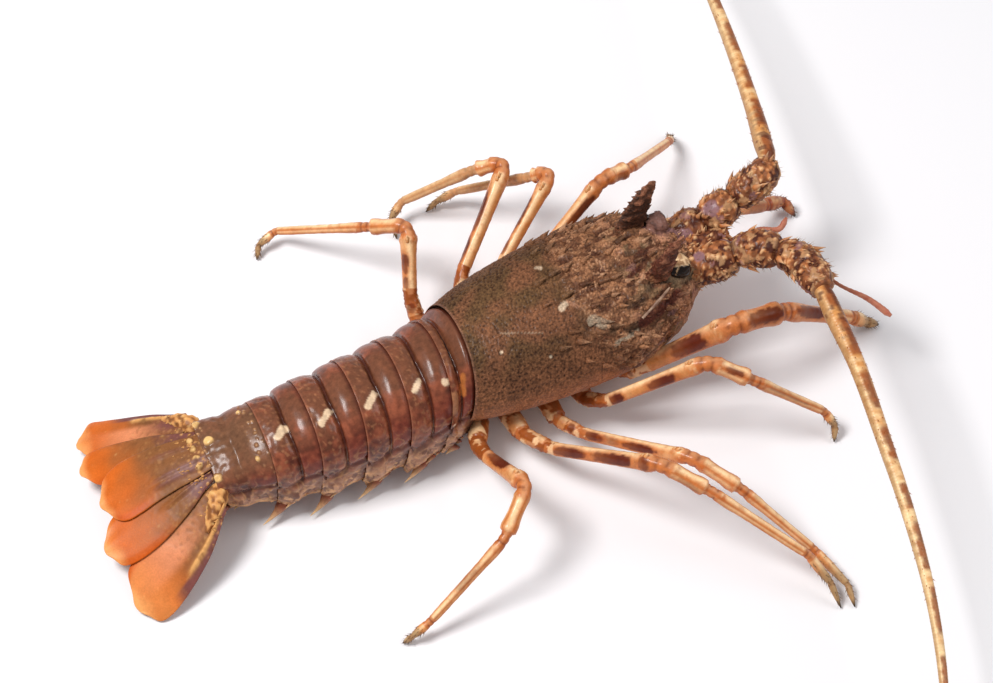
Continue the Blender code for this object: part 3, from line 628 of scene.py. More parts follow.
def half_section(x):
    """One side of the head shell's section, crest to keel, as (side distance, z)."""
    half, crest, wide, keel = (float(curve(CARAPACE, x, k)) for k in (1, 2, 3, 4))
    turn = np.radians(np.linspace(0, 90, 60))
    side = half * np.sin(turn) ** SIDE_POWER
    height = wide + (crest - wide) * np.abs(np.cos(turn)) ** CREST_POWER
    rim_z = min(LOWER_RIM_Z, wide - 8) if keel < 20 else (wide + keel) / 2
    rim_z = max(rim_z, keel + 3)
    keel_half = min(KEEL_HALF_WIDTH, half * 0.4)
    upper = list(zip(side, height)) + [(half * 0.975, (wide + rim_z) / 2 + 1.5),
                                       (half * LOWER_RIM_INSET, rim_z)]
    lower = [upper[-1], (half * 0.55, keel + (rim_z - keel) * 0.62), (keel_half, keel),
             (0, keel)]
    return np.array(upper), np.array(lower)


def resample(line, count):
    """A line again, with points at even distances."""
    steps = np.linalg.norm(np.diff(line, axis=0), axis=1)
    reach = np.concatenate(([0], np.cumsum(steps)))
    goal = np.linspace(0, 1, count) * reach[-1]
    return np.stack([np.interp(goal, reach, line[:, k]) for k in (0, 1)], axis=1)


def both_sides(section, counts, x, lean):
    """One whole ring from the upper and lower lines of half a section, crest first."""
    upper, lower = (resample(line, count) for line, count in zip(section, counts))
    half = np.concatenate((upper, lower[1:]))
    side = np.concatenate((half[:, 0], -half[-2:0:-1, 0]))
    z = np.concatenate((half[:, 1], half[-2:0:-1, 1]))
    return np.stack((x + lean * (z - LEAN_Z), body_y(x) + side, z), axis=1)


def girth_line(counts):
    """Girth of each point of such a ring: 0 crest, 1 rim, 2 keel, below zero on the right."""
    upper, lower = (np.linspace(k, k + 1, count) for k, count in enumerate(counts))
    girth = np.concatenate((upper, lower[1:]))
    return np.concatenate((girth, -girth[-2:0:-1]))


def rear_lean(x):
    """Lean of the shell's rings to the head, per millimetre of height; none past its rear."""
    return REAR_LEAN * np.maximum(0, 1 - x / REAR_LEAN_LENGTH)


def shell_spot(x, angle):
    """A point of the upper head shell; angle 0 is the crest, 90 the widest line."""
    half, crest, wide = (float(curve(CARAPACE, x, k)) for k in (1, 2, 3))
    turn = math.radians(angle)
    side = math.copysign(abs(math.sin(turn)) ** SIDE_POWER, turn)
    z = wide + (crest - wide) * max(math.cos(turn), 0) ** CREST_POWER
    return np.array((x + rear_lean(x) * (z - LEAN_Z), body_y(x) + half * side, z))


def shell_lattice():
    """Rings of the head shell, from the rear to the front."""
    xs = np.arange(0, CARAPACE[-1][0] + 0.01, SHELL_STEP)
    rings = [both_sides(half_section(x), SHELL_COUNTS, x, rear_lean(x)) for x in xs]
    return xs, girth_line(SHELL_COUNTS), np.array(rings)


def paint_fore(place, x, long_way, ridged, humps, grit, mottle):
    """Colours of the rugged shell before the neck groove."""
    share = patches(long_way, 3, 12)
    face = ramp(x, 74, 92)
    fore = layered(SHELL_FRONT_DARK, [
        (SHELL_FRONT, 0.5 + 0.25 * ridged + 0.6 * humps + 0.7 * grit),
        (SHELL_TIP, 0.75 * ramp(grit + 0.5 * mottle, 0.2, 0.5) * (share > 0.5)),
        (SHELL_DARK_AND_PIT_SHADE, (0.3 + 0.35 * face) * (share < 0.22))])
    streaks = cloud(place * np.array((0.35, 1, 1)), 2.2, 13)
    return layered(fore, [
        (SHELL_FRONT_DARK, 0.7 * ramp(streaks, 0.1, 0.3)),
        (CHEEK, 0.45 * face * (share > 0.66) * (share < 0.8)),
        (MAUVE, 0.45 * face * (share > 0.6) * (share < 0.66)),
        (SHELL_DULL, 0.5 * face * (share > 0.44) * (share < 0.56))])


def mark_shell(tints, place, mottle):
    """The marks listed for the head shell, with ragged edges; one of them is the right horn's shadow,
    painted on the shell.
    """
    for x0, angle0, x1, angle1, radius, colour, strength in SHELL_MARKS:
        away = away_from(place, shell_spot(x0, angle0), shell_spot(x1, angle1), radius)
        tints = mix(tints, colour, strength * fade(away + 0.6 * mottle, 0.5, 1.15))
    return tints


def paint_sockets(tints, place, mottle):
    """Soft tissue round both eyes."""
    for side, colour in ((1, MAUVE), (-1, ORBIT)):
        away = np.linalg.norm(place - eye_centre(side), axis=-1) - EYE_RADIUS
        tints = mix(tints, colour, 0.45 * fade(away + 1.5 * mottle, 1.5, 4))
    return tints


def paint_shell(place, xs, girth):
    """Relief in millimetres, colours and roughness of the head shell."""
    x = np.broadcast_to(xs[:, None], place.shape[:2])
    g = np.broadcast_to(np.abs(girth)[None, :], place.shape[:2])
    groove = GROOVE_X + GROOVE_SWEEP * g ** 2 + 1.5 * cloud(place, 9, 8)
    front = ramp(x - groove, -6, 7)
    smooth_side = ramp(g, 0.62, 0.84) * (1 - 0.6 * front)
    below = ramp(g, 1, 1.08)
    pit = fade(grains(place, 1.5, 1), 0.2, 0.58)
    grit = cloud(place, 0.9, 5)
    drift = cloud(place, 14, 3)
    mottle = cloud(place, 3.6, 4)
    long_way = place * np.array((0.6, 1, 1)) + 0.5 * mottle[..., None]
    ridged = 1 - 3 * np.abs(cloud(long_way, 2.2, 9))
    humps = cloud(long_way, 4, 6)
    granular = (0.22 * grit - 0.4 * pit + 0.2 * mottle) * (1 - 0.85 * smooth_side)
    rugged = 0.45 * ridged + 1.2 * humps + 0.45 * grit + 0.4 * mottle
    relief = granular * (1 - front) + rugged * front * (1 - 0.5 * ramp(g, 0.8, 1))
    relief = relief - 0.8 * hump(x - groove, 0, 1.8) * fade(g, 0.85, 1)
    relief = relief * (1 - below)
    lip = hump(x, 0.5, 0.6) * (1 - below)
    relief = relief * fade(lip, 0.2, 0.8) + 0.2 * lip - 0.3 * hump(x, 3, 0.8)
    # The pits of the rear shell and of the smooth sides are darker, partly in their own colour and
    # partly as painted shade.
    rear = layered(SHELL_GRAIN, [
        (SHELL_OLIVE, ramp(drift, -0.25, 0.2) * fade(g, 0.3, 0.6)),
        (SHELL_DARK_AND_PIT_SHADE, 0.5 * pit + 0.17 - 0.22 * grit + 0.2 * hump(g, 0.4, 0.2) + 0.25 * drift)])
    side = mix(SHELL_SIDE, SHELL_DARK_AND_PIT_SHADE, 0.1 + 0.4 * pit * fade(g, 0.7, 0.85) - 0.25 * mottle)
    fore = paint_fore(place, x, long_way, ridged, humps, grit, mottle)
    tints = layered(rear, [
        (side, smooth_side),
        (fore, front),
        (SHELL_RIM, 0.5 * lip * fade(g, 0.9, 1)),
        (SHELL_DARK_AND_PIT_SHADE, 0.3 * hump(x - groove, 0, 1) * (g < 0.9))])
    tints = mark_shell(tints, place, mottle)
    cheek = hump(x, 113, 7) * ramp(g, 0.45, 0.75)
    tints = mix(tints, CHEEK, 0.55 * cheek * (1 - below))
    tints = paint_sockets(tints, place, mottle)
    tints = mix(tints, SHELL_BELOW, below * 0.8)
    return relief, tints, 0.6 - 0.12 * smooth_side


def is_crowded(spot):
    """True where a spine would run into an eye or the cheek feeler."""
    if near_eye(spot, 5.5):
        return True
    line = np.array(SMALL_FEELERS["palp_R"][0], float)
    return min(np.linalg.norm(line - spot, axis=1)) < PALP_ROOM


def shell_spine_rows():
    """The big forward-pointing spines, in rows over the front half of the shell."""
    rng = random.Random(SEED + 1)
    spines = []
    for angle, front, rear, pitch, length in SPINE_ROWS:
        for side in (1, -1):
            x = front
            while x > rear:
                spot = shell_spot(x + rng.uniform(-2, 2), side * (angle + rng.uniform(-4, 4)))
                x -= pitch
                if is_crowded(spot):
                    continue
                spines.append((spot, length * rng.uniform(0.7, 1.15)))
    return spines


def out_of_shell(spot):
    """The direction away from the shell's long axis."""
    return unit(np.array((0, spot[1] - body_y(spot[0]), spot[2] - 40)))


def near_eye(spot, room):
    """True where less than some room is left to an eye."""
    return min(np.linalg.norm(spot - eye_centre(side)) for side in (1, -1)) < EYE_RADIUS + room


def small_spine_spots(rng):
    """Random short spines in front of the neck groove."""
    spots = []
    while len(spots) < SMALL_SPINES:
        x = rng.uniform(20, 118)
        angle = rng.uniform(-88, 88)
        spot = shell_spot(x, angle)
        forward = x > GROOVE_X + GROOVE_SWEEP * (abs(angle) / 100) ** 2
        if forward and not near_eye(spot, 2.5):
            spots.append((spot, rng.uniform(0.8, 1.3 + 1.3 * rng.random() ** 2)))
    return spots


def shell_spines(skin, place, tints):
    """Spines of the shell, each in the colour of the shell round its foot."""
    rng = random.Random(SEED + 2)
    for spines, width in ((shell_spine_rows(), 0.42), (small_spine_spots(rng), 0.55)):
        sizes = np.array([size for spot, size in spines])
        roots, feet = [], []
        for spot, size in spines:
            row = min(int(spot[0] / SHELL_STEP), len(place) - 1)
            column = int(np.argmin(np.linalg.norm(place[row] - spot, axis=1)))
            roots.append(place[row, column])
            feet.append(tints[row, column])
        roots, feet = np.array(roots), np.array(feet)
        out = np.array([out_of_shell(spot) for spot in roots])
        aims = out * 0.8 + np.array((0.95, 0, 0))
        spread = np.array([[rng.uniform(-0.22, 0.22) for _ in range(3)] for _ in spines])
        shade = np.array([rng.random() for _ in spines])
        tips = mix(feet * 0.8, SHELL_TIP, 0.15 + 0.75 * shade ** 2)
        add_spines(skin, roots - out * 0.3, aims + spread, sizes, sizes * width, feet, tips,
                   sides=7, bend=np.array((0.25, 0, 0)))


def horn(skin, side):
    """The flattened, jagged horn over one eye, cut off aslant at its top."""
    base_y = float(body_y(HORN_BASE_X)) + side * HORN_SIDE
    base = np.array((HORN_BASE_X + 0.8, base_y, 60))
    tip_x, tip_side, tip_z = HORN_TIP
    tip = np.array((tip_x + 0.6, float(body_y(tip_x)) + side * tip_side, tip_z - 0.2))
    rows, sides = 60, 32
    share = np.linspace(0, 1, rows)
    centres = base + (tip - base) * share[:, None]
    centres[:, 0] -= 6 * share * (1 - share)
    angles = np.linspace(0, 2 * math.pi, sides, endpoint=False)
    wide = 1 if side > 0 else 0.8
    long_half = wide * np.interp(share, (0, 0.3, 0.6, 0.86, 0.96, 1), (8, 7, 5.8, 4.6, 3, 0.4))
    thick_half = np.interp(share, (0, 0.5, 0.9, 1), (3.4, 2.4, 1.2, 0.2))
    slant = np.interp(share, (0, 0.6, 1), (-0.35, 0.1, 0.5))
    points = np.zeros((rows, sides, 3))
    points[..., 0] = centres[:, 0:1] + np.outer(long_half, np.cos(angles))
    points[..., 1] = centres[:, 1:2] + np.outer(thick_half, np.sin(angles))
    points[..., 2] = centres[:, 2:3] + np.outer(long_half * slant, np.cos(angles))
    lump = cloud(points, 2.6, 21)
    fine = cloud(points, 1.1, 22)
    out = unit(points - centres[:, None, :])
    points += out * (1.1 * lump + 0.5 * fine)[..., None]
    height = np.broadcast_to(share[:, None], lump.shape) + 0.25 * lump
    flank = HORN_DARK if side > 0 else HORN_MAROON
    tints = layered(flank, [
        (SHELL_FRONT_DARK, 0.5 + 1.5 * fine),
        (HORN_TAN, 0.6 * ramp(height, 0.6, 1) + 0.8 * ramp(lump + 0.5 * fine, 0.15, 0.5)),
        (SHELL_FRONT, 0.8 * fade(height, 0.02, 0.25))])
    skin.add_rings(points, tints, 0.5)
    rng = random.Random(SEED + 5 + int(side))
    picks = np.array([rng.randrange(6, rows - 6) for _ in range(26)])
    turns = np.array([rng.choice((0, sides // 2)) + rng.randrange(-3, 4) for _ in picks])
    roots = points[picks, turns] - 0.4 * out[picks, turns]
    sizes = draws(rng, 1.2, 2.8, picks)
    add_spines(skin, roots, out[picks, turns] + np.array((0.1, 0, 0.9)), sizes, sizes * 0.45,
               flank, HORN_TAN)


def make_carapace(material):
    """The head shell with its nose, large and small spines and both horns."""
    skin = Skin()
    xs, girth, place = shell_lattice()
    relief, tints, rough = paint_shell(place, xs, girth)
    middle = np.stack((xs, body_y(xs), np.full(len(xs), 38)), axis=1)
    out = lattice_normals(place, middle)
    place = place + out * relief[..., None]
    rings, shades, gloss = [place], [tints], [rough]
    nose = np.array((xs[-1] + 5, float(body_y(xs[-1])), 44))
    for share in (0.2, 0.4, 0.6, 0.8, 0.95):
        bulge = math.sin(share * math.pi / 2)
        ring = place[-1] + (nose - place[-1]) * share
        ring[:, 0] = xs[-1] + 5 * bulge
        rings.append(ring[None])
        shades.append(mix(tints[-1], SHELL_FRONT_DARK, np.full(len(ring), share))[None])
        gloss.append(rough[-1][None])
    rear_middle = np.array((0, float(body_y(0)), 36))
    # Rings of the recess at the rear, where the first tail ring goes in, darkened as painted shade.
    for scale, depth in ((0.995, 0), (0.988, 0.5), (0.985, 3.6), (0.4, 3.6)):
        ring = rear_middle + (place[0] - rear_middle) * scale
        ring[:, 0] = place[0][:, 0] + depth
        rings.insert(0, ring[None])
        dark = 0.3 if scale > 0.96 else 0.9
        shades.insert(0, mix(tints[0], SHELL_DARK_AND_PIT_SHADE, np.full(len(ring), dark))[None])
        gloss.insert(0, rough[0][None])
    skin.add_rings(*(np.concatenate(part) for part in (rings, shades, gloss)))
    shell_spines(skin, place, tints)
    for side in (1, -1):
        horn(skin, side)
    return skin.make("head_shell", material, "carapace_shell", "carapace")


# Colours of the tail
TAIL_DARK = paint(76, 28, 20)
TAIL_BROWN = paint(140, 76, 52)
TAIL_HOOP = paint(116, 44, 34)
TAIL_CREST = paint(112, 70, 48)
TAIL_LIGHT = paint(158, 106, 72)
TAIL_TAN = paint(218, 164, 112)
TAIL_RIM = paint(150, 90, 64)
TAIL_LAST = paint(112, 78, 54)
TAIL_ORANGE = paint(176, 104, 52)
TAIL_SKIRT = paint(186, 136, 104)
TAIL_YELLOW = paint(236, 190, 122)
TAIL_CREAM = paint(230, 200, 164)
TAIL_BELOW = paint(150, 96, 76)
HOOK_TIP = paint(244, 204, 150)

# Marks right of the crest of each tail ring: share along the ring and girth from crest to
# skirt of both ends (below zero: on the left only), radius, colour
TAIL_MARKS = [[(0.84, 0.4, 0.86, 0.52, 2, TAIL_LIGHT), (0.3, 0.3, 0.4, 0.42, 1.8, TAIL_ORANGE),
               (0.8, 0.66, 0.8, 0.66, 1, CREAM)],
              [(0.6, 0.17, 0.8, 0.23, 1.5, TAIL_CREAM), (0.06, 0.27, 0.06, 0.27, 2, TAIL_CREAM)],
              [(0.58, 0.13, 0.82, 0.21, 1.7, TAIL_CREAM)],
              [(0.58, 0.11, 0.82, 0.19, 1.7, TAIL_CREAM)],
              [(0.56, 0.09, 0.72, 0.15, 2, TAIL_CREAM)],
              [(0.85, -0.1, 0.85, -0.1, 2.3, TAIL_YELLOW), (0.95, 0.42, 0.95, 0.42, 2.3, TAIL_YELLOW),
               (0.2, 0.3, 0.2, 0.3, 1.2, TAIL_YELLOW)]]
MARK_SHIFT = 0.4  # the left marks lie this much further down the side


def tail_section(rim, swell, depth):
    """One side of a tail ring's section: crest to skirt, and skirt to keel."""
    half, crest, skirt = rim
    middle = 30
    turn = np.radians(np.linspace(0, 90, 50))
    side = half * swell * np.sin(turn) ** 0.95
    z = middle + (crest * swell - middle) * np.abs(np.cos(turn)) ** 0.9
    upper = list(zip(side, z)) + [(half * swell * 0.99, skirt + 5 - depth * 0.3),
                                  (half * 0.93, skirt - depth)]
    lower = [upper[-1], (half * 0.84, skirt + 0.5), (half * 0.4, skirt - 1),
             (0, skirt - 1)]
    return np.array(upper), np.array(lower)


def tail_station(index, share):
    """x, lean and rim sizes at a share of the way back along one tail ring."""
    front, rear = TAIL_RIMS[index], TAIL_RIMS[index + 1]
    rim = [front[k] + (rear[k] - front[k]) * share for k in (1, 2, 3)]
    lean = TAIL_LEAN[index] + (TAIL_LEAN[index + 1] - TAIL_LEAN[index]) * share
    x0, x1 = front[0] - RIM_GAP / 2, rear[0] + RIM_GAP / 2
    return x0 + (x1 - x0) * share, lean, rim


def skirt_depth(index, share):
    """How far the skirt hangs down where the hook of one ring is."""
    return SKIRT_SPINE[index] * float(np.interp(share, (0.3, 0.86, 0.97), (0, 1, 0.2)))


def tail_place(index, share, girth):
    """A point of the upper surface of one tail ring; girth runs from crest to skirt."""
    x, lean, rim = tail_station(index, share)
    upper, _ = tail_section(rim, float(curve(TAIL_PROFILE, share)), 0)
    side, z = resample(upper, 101)[int(min(abs(girth), 1) * 100)]
    y = float(body_y(x)) + math.copysign(side, girth)
    return np.array((x + lean * (z - LEAN_Z), y, z))


def tail_lattice(index):
    """Share along one tail ring, girth, points and the middles of their rows."""
    length = TAIL_RIMS[index][0] - TAIL_RIMS[index + 1][0] - RIM_GAP
    shares = np.linspace(0, 1, max(24, int(length / TAIL_STEP)))
    collar = FIRST_COLLAR if index == 0 else 0
    rings = []
    for share in shares:
        x, lean, rim = tail_station(index, share)
        swell = float(curve(TAIL_PROFILE, share)) + collar * fade(share, 0, 0.4)
        section = tail_section(rim, swell, skirt_depth(index, share))
        rings.append(both_sides(section, TAIL_COUNTS, x, lean))
    place = np.array(rings)
    s = np.broadcast_to(shares[:, None], place.shape[:2])
    g = np.broadcast_to(np.abs(girth_line(TAIL_COUNTS)), place.shape[:2])
    xs = place[..., 0].mean(axis=1)
    return s, g, place, np.stack((xs, body_y(xs), np.full(len(shares), 28)), axis=1)


def mark_ring(index, place, mottle, relief, tints):
    """The marks of one tail ring; those of the last ring are raised knobs."""
    last = float(index == 5)
    for share0, girth0, share1, girth1, radius, colour in TAIL_MARKS[index]:
        for side, shift in ((1, MARK_SHIFT * (1 - last)), (-1, 0)):
            if girth0 < 0 < -side:
                continue
            start, end = (tail_place(index, at, side * (abs(girth) + shift))
                          for at, girth in ((share0, girth0), (share1, girth1)))
            away = away_from(place, start, end, radius)
            inside = fade(away + 0.35 * mottle, 0.7, 1.1)
            tints = mix(tints, colour, 0.92 * inside)
            relief = relief + last * 0.9 * inside
    return relief, tints


def paint_ring(index, s, g, place):
    """Relief in millimetres, colours and roughness of one tail ring, with painted shade at its front
    edge and at the front of its skirts.
    """
    above = fade(g, 1, 1.05)
    drift = cloud(place, 9, 30 + index)
    mottle = cloud(place, 2.6, 40 + index)
    skirt = ramp(g, 0.66, 0.8)
    last = float(index == 5)
    groove = hump(s, 0.5 - 0.12 * g, 0.032) * fade(g, 0.6, 0.78) * (1 - last)
    blotch = patches(place + 1.2 * mottle[..., None], 3.4, 71 + index)
    hoop = fade(s, 0.42 - 0.12 * g, 0.52 - 0.12 * g)
    relief = (0.12 * drift + 0.25 * mottle) * above * (1 - 0.8 * hoop) - 1.5 * groove
    puff = hump(s, 0.58, 0.22) * hump(g, 0.86, 0.14)
    relief = relief + above * (2.6 * puff + 0.5 * skirt * mottle)
    relief = relief - 0.9 * above * hump(g, 0.68 + 0.06 * (s - 0.5), 0.03)
    lip = hump(s, 0.985, 0.018) * above
    relief = relief + 0.15 * lip
    fleck = ramp(cloud(place, 1.5, 50 + index), 0.22, 0.42)
    veins = hump(cloud(place, 4.5, 60 + index), 0, 0.07)
    tints = layered(TAIL_DARK, [
        (TAIL_BROWN, 0.6 + 0.7 * drift + 0.8 * mottle),
        (TAIL_HOOP, 0.5 * hoop * ramp(g, 0.3, 0.5)),
        (TAIL_CREST, 0.8 * fade(g + 0.15 * drift + 0.1 * mottle, 0.1, 0.4)),
        (TAIL_LIGHT, 0.5 * fleck * (1 - hoop) * fade(g, 0.5, 0.7)),
        (TAIL_DARK * 0.6, 0.9 * groove),
        # painted shade at the ring's front, under the rim of the ring before
        (TAIL_DARK, 0.5 * fade(s, 0, 0.07) * above),
        (TAIL_RIM, (0.7 + 0.5 * mottle) * lip),
        (TAIL_SKIRT, skirt * (0.5 + 0.5 * ramp(mottle, -0.3, 0.4))),
        (TAIL_DARK, 0.65 * skirt * (blotch < 0.36)),
        (TAIL_TAN, 0.75 * ramp(g, 0.74, 0.88) * (blotch > 0.76)),
        (TAIL_TAN, 0.4 * veins * ramp(g, 0.4, 0.7)),
        (TAIL_TAN, 0.85 * skirt * fleck * ramp(g, 0.7, 0.95)),
        # painted shade at the front of each skirt lobe, in the notch behind the lobe before
        (TAIL_DARK, 0.7 * skirt * fade(s, 0.04, 0.2)),
        (TAIL_DARK, 0.6 * hump(g, 0.68, 0.025)),
        (TAIL_TAN, 0.6 * ramp(g, 0.93, 1) * above)])
    if last:
        nodules = ramp(0.4 - grains(place, 2.6, 66), 0, 0.25)
        zone = np.maximum(ramp(s, 0.86, 0.93), 0.6 * hump(s, 0.1, 0.1)) * above
        relief = relief + 0.9 * nodules * zone
        tints = layered(tints, [
            (TAIL_LAST, 0.7 * fade(g, 0.3, 0.6)),
            (TAIL_TAN, 0.9 * nodules * zone)])
    relief, tints = mark_ring(index, place, mottle, relief, tints)
    return relief, mix(tints, TAIL_BELOW, 1 - above), 0.3 + 0.15 * skirt


def make_tail_ring(index, material):
    """One ring: swollen hoop, cross groove, pale rear rim and pointed side skirts."""
    skin = Skin()
    s, g, place, middle = tail_lattice(index)
    relief, tints, rough = paint_ring(index, s, g, place)
    place = place + lattice_normals(place, middle) * relief[..., None]
    tail_middle = middle[-1] + (0.8, 0, 0)
    ends = [place[0] + (middle[0] - place[0]) * 0.01 + (TAIL_TUCK, 0, 0)]
    ends += [place[-1] + (tail_middle - place[-1]) * inset + (step, 0, 0)
             for inset, step in ((0.05, 1.2), (0.5, 1.6))]
    # The caps at both ends are painted dark as the shade inside the ring.
    dark = np.broadcast_to(TAIL_DARK * 0.6, (len(ends),) + tints[0].shape)
    gloss = np.stack([rough[0]] * len(ends))
    skin.add_rings(*(np.concatenate((extra[:1], rows, extra[1:])) for rows, extra
                     in ((place, np.array(ends)), (tints, dark), (rough, gloss))))
    skirt_spines(skin, index)
    return skin.make(f"tail_ring_{index + 1}", material, "tail_shell", f"abdomen_{index + 1}")


def skirt_spines(skin, index):
    """The backward hooks along the lower edge of one ring's sides."""
    rng = random.Random(SEED + 60 + index)
    front, rear = TAIL_RIMS[index], TAIL_RIMS[index + 1]
    roots, aims, sizes, widths = [], [], [], []
    hooks = [(HOOK_SHARE[index], 9, 4.8), (HOOK_SHARE[index] - 0.26, 4, 2.6)]
    hooks += [(0.25 + 0.13 * k, 1.8, 1.4) for k in range(4)]
    for share, size, width in hooks:
        half, _, skirt = tail_station(index, share)[2]
        x = front[0] + (rear[0] - front[0]) * share - 3
        for side in (1, -1):
            roots.append((x, float(body_y(x)) + side * half * 0.93,
                          skirt - skirt_depth(index, share) + 1.6))
            aims.append((-0.75, side * (0.5 + rng.uniform(-0.1, 0.1)), -0.55))
            sizes.append(size * min(1, SKIRT_SPINE[index] / 7))
            widths.append(width * 0.6)
    add_spines(skin, roots, aims, sizes, widths, TAIL_BROWN, HOOK_TIP, sides=8,
               bend=np.array((-0.45, 0, 0.1)), rough=0.4)


# Colours of the fan
FAN_BROWN = paint(132, 84, 48)
FAN_ORANGE = paint(204, 102, 34)
FAN_DEEP = paint(190, 78, 14)
FAN_EDGE = paint(244, 172, 104)
FAN_YELLOW = paint(222, 164, 100)
FAN_PURPLE = paint(112, 66, 66)
FAN_GREY = paint(150, 122, 122)
FAN_PINK = paint(224, 142, 100)
BLADE_SPINES = 24
BEAD_PLACES = (0.14, 0.36, 0.6, 0.84)  # shares across the telson
BLADE_TUCK = 2.2  # how far the blades run in under the last ring

# Lumpy root of each outer blade: points from under the last ring outwards, with radii
BLADE_ROOTS = {
    "uropod_outer_R": ([(-116.5, -13, 27), (-120, -18, 27), (-124, -24, 26.5), (-131, -32, 23)],
                       [3.8, 4.4, 3.2, 1]),
    "uropod_outer_L": ([(-116.5, 15, 27), (-119.5, 19.5, 28), (-123, 24, 27), (-130, 31, 23.5)],
                       [3.8, 4.4, 3, 1]),
}


def sheet_faces(rows, columns):
    """Faces of a thin sheet whose rings run over its top and back under its bottom."""
    faces = ring_faces(rows, 2 * columns)[:-2]
    for row in (0, rows - 1):
        start = row * 2 * columns
        for k in range(columns - 1):
            faces.append([start + k, start + k + 1, start + 2 * columns - 2 - k,
                          start + 2 * columns - 1 - k])
    return faces


def fan_height(x, y):
    """Height of the arched surface that the fan's blades share."""
    back = FAN_BASE_X - x
    return FAN_BASE_Z - FAN_SLOPE * back - FAN_ARCH * (y - 1) ** 2


def blade_sheet(name):
    """Share along and across one blade, and the points of its middle sheet."""
    level, left, right = BLADES[name]
    shape = (BLADE_ROWS, BLADE_COLUMNS)
    share = np.linspace(0, 1, BLADE_ROWS)
    steps = np.arange(len(left)) / (len(left) - 1)
    edges = [[curve([(t, p[k]) for t, p in zip(steps, line)], share)[:, None] for k in (0, 1)]
             for line in (left, right)]
    s = np.broadcast_to(share[:, None], shape)
    a = np.broadcast_to(np.linspace(0, 1, BLADE_COLUMNS), shape)
    x, y = (start + (end - start) * a for start, end in zip(*edges))
    x = x - BLADE_BOW * 4 * a * (1 - a) * s ** 4 + BLADE_TUCK * (1 - s) ** 14
    return s, a, np.stack((x, y, fan_height(x, y) + level * BLADE_STACK), axis=-1)


def blade_ridges(name, s, a, outer):
    """The raised ribs on the root of a blade."""
    if name == "telson":
        ribs = hump(a, 0.8, 0.05) + 0.7 * hump(a, 0.66, 0.04) + 0.5 * hump(a, 0.25, 0.05)
        return ribs * fade(s, 0.3, 0.5)
    if name in BLADE_ROOTS:
        return hump(outer, 0.19 - 0.03 * s, 0.05) * fade(s, 0.4, 0.52)
    return hump(a, 0.5, 0.06) * fade(s, 0.3, 0.5)


def telson_beads(name, flat, mottle):
    """Heights of the round beads across the root of the middle blade, 0 on the others."""
    beads = np.zeros(mottle.shape)
    for at in BEAD_PLACES if name == "telson" else ():
        middle = flat[9, int(at * (BLADE_COLUMNS - 1))]
        away = np.linalg.norm(flat - middle, axis=-1) / (1.7 + 0.4 * mottle)
        beads = np.maximum(beads, np.sqrt(np.clip(1 - away ** 2, 0, 1)))
    return beads


def paint_web(name, s, a, drift):
    """Orange of the soft web, darker along the side that lies under the next blade."""
    shaded = {"telson": hump(a, 0.94, 0.08),
              "uropod_inner_R": ramp(a, 0.75, 1), "uropod_inner_L": ramp(a, 0.7, 1),
              "uropod_outer_R": fade(a, 0, 0.2), "uropod_outer_L": ramp(a, 0.75, 1)}[name]
    tints = layered(FAN_BROWN, [
        (FAN_ORANGE, ramp(s + 0.1 * drift, 0.3, 0.8)),
        (FAN_DEEP, shaded * ramp(s, 0.35, 0.6) * 0.75),
        (FAN_DEEP, 0.3 * ramp(s, 0.5, 0.75) * (0.5 + 0.8 * drift)),
        (FAN_EDGE, 0.75 * ramp(s + 0.1 * drift, 0.8, 0.98))])
    if name == "uropod_outer_R":
        tints = mix(tints, FAN_EDGE, 0.3 * ramp(s, 0.45, 0.8) * (1 - shaded))
    return tints


def paint_root(name, s, a, outer, ridge, mottle):
    """Purple, grey and yellow parts on the root of a blade, each as (colour, share)."""
    if name == "telson":
        return [(FAN_PURPLE, 0.7 * ridge * (s > 0.04)),
                (FAN_GREY, 0.6 * hump(a, 0.72, 0.12) * fade(s, 0.2, 0.4))]
    if name not in BLADE_ROOTS:
        return [(FAN_PURPLE, 0.8 * fade(s + 0.1 * mottle, 0.14, 0.34)),
                (FAN_GREY, 0.6 * hump(s, 0.16, 0.1) * hump(a, 0.6, 0.2))]
    pink = 0.75 * hump(s, 0.5, 0.22) * ramp(outer, 0.3, 0.5) * fade(outer, 0.75, 0.95)
    middle = 0.85 * hump(s, 0.18, 0.13) * hump(outer, 0.5, 0.26) * name.endswith("L")
    return [(FAN_PINK, pink),
            (FAN_PURPLE, 0.9 * fade(outer, 0.11, 0.17) * fade(s, 0.52, 0.68)),
            (FAN_PURPLE, middle),
            (FAN_YELLOW, np.clip(ridge * 1.6, 0, 1) * (0.9 + 0.6 * mottle))]


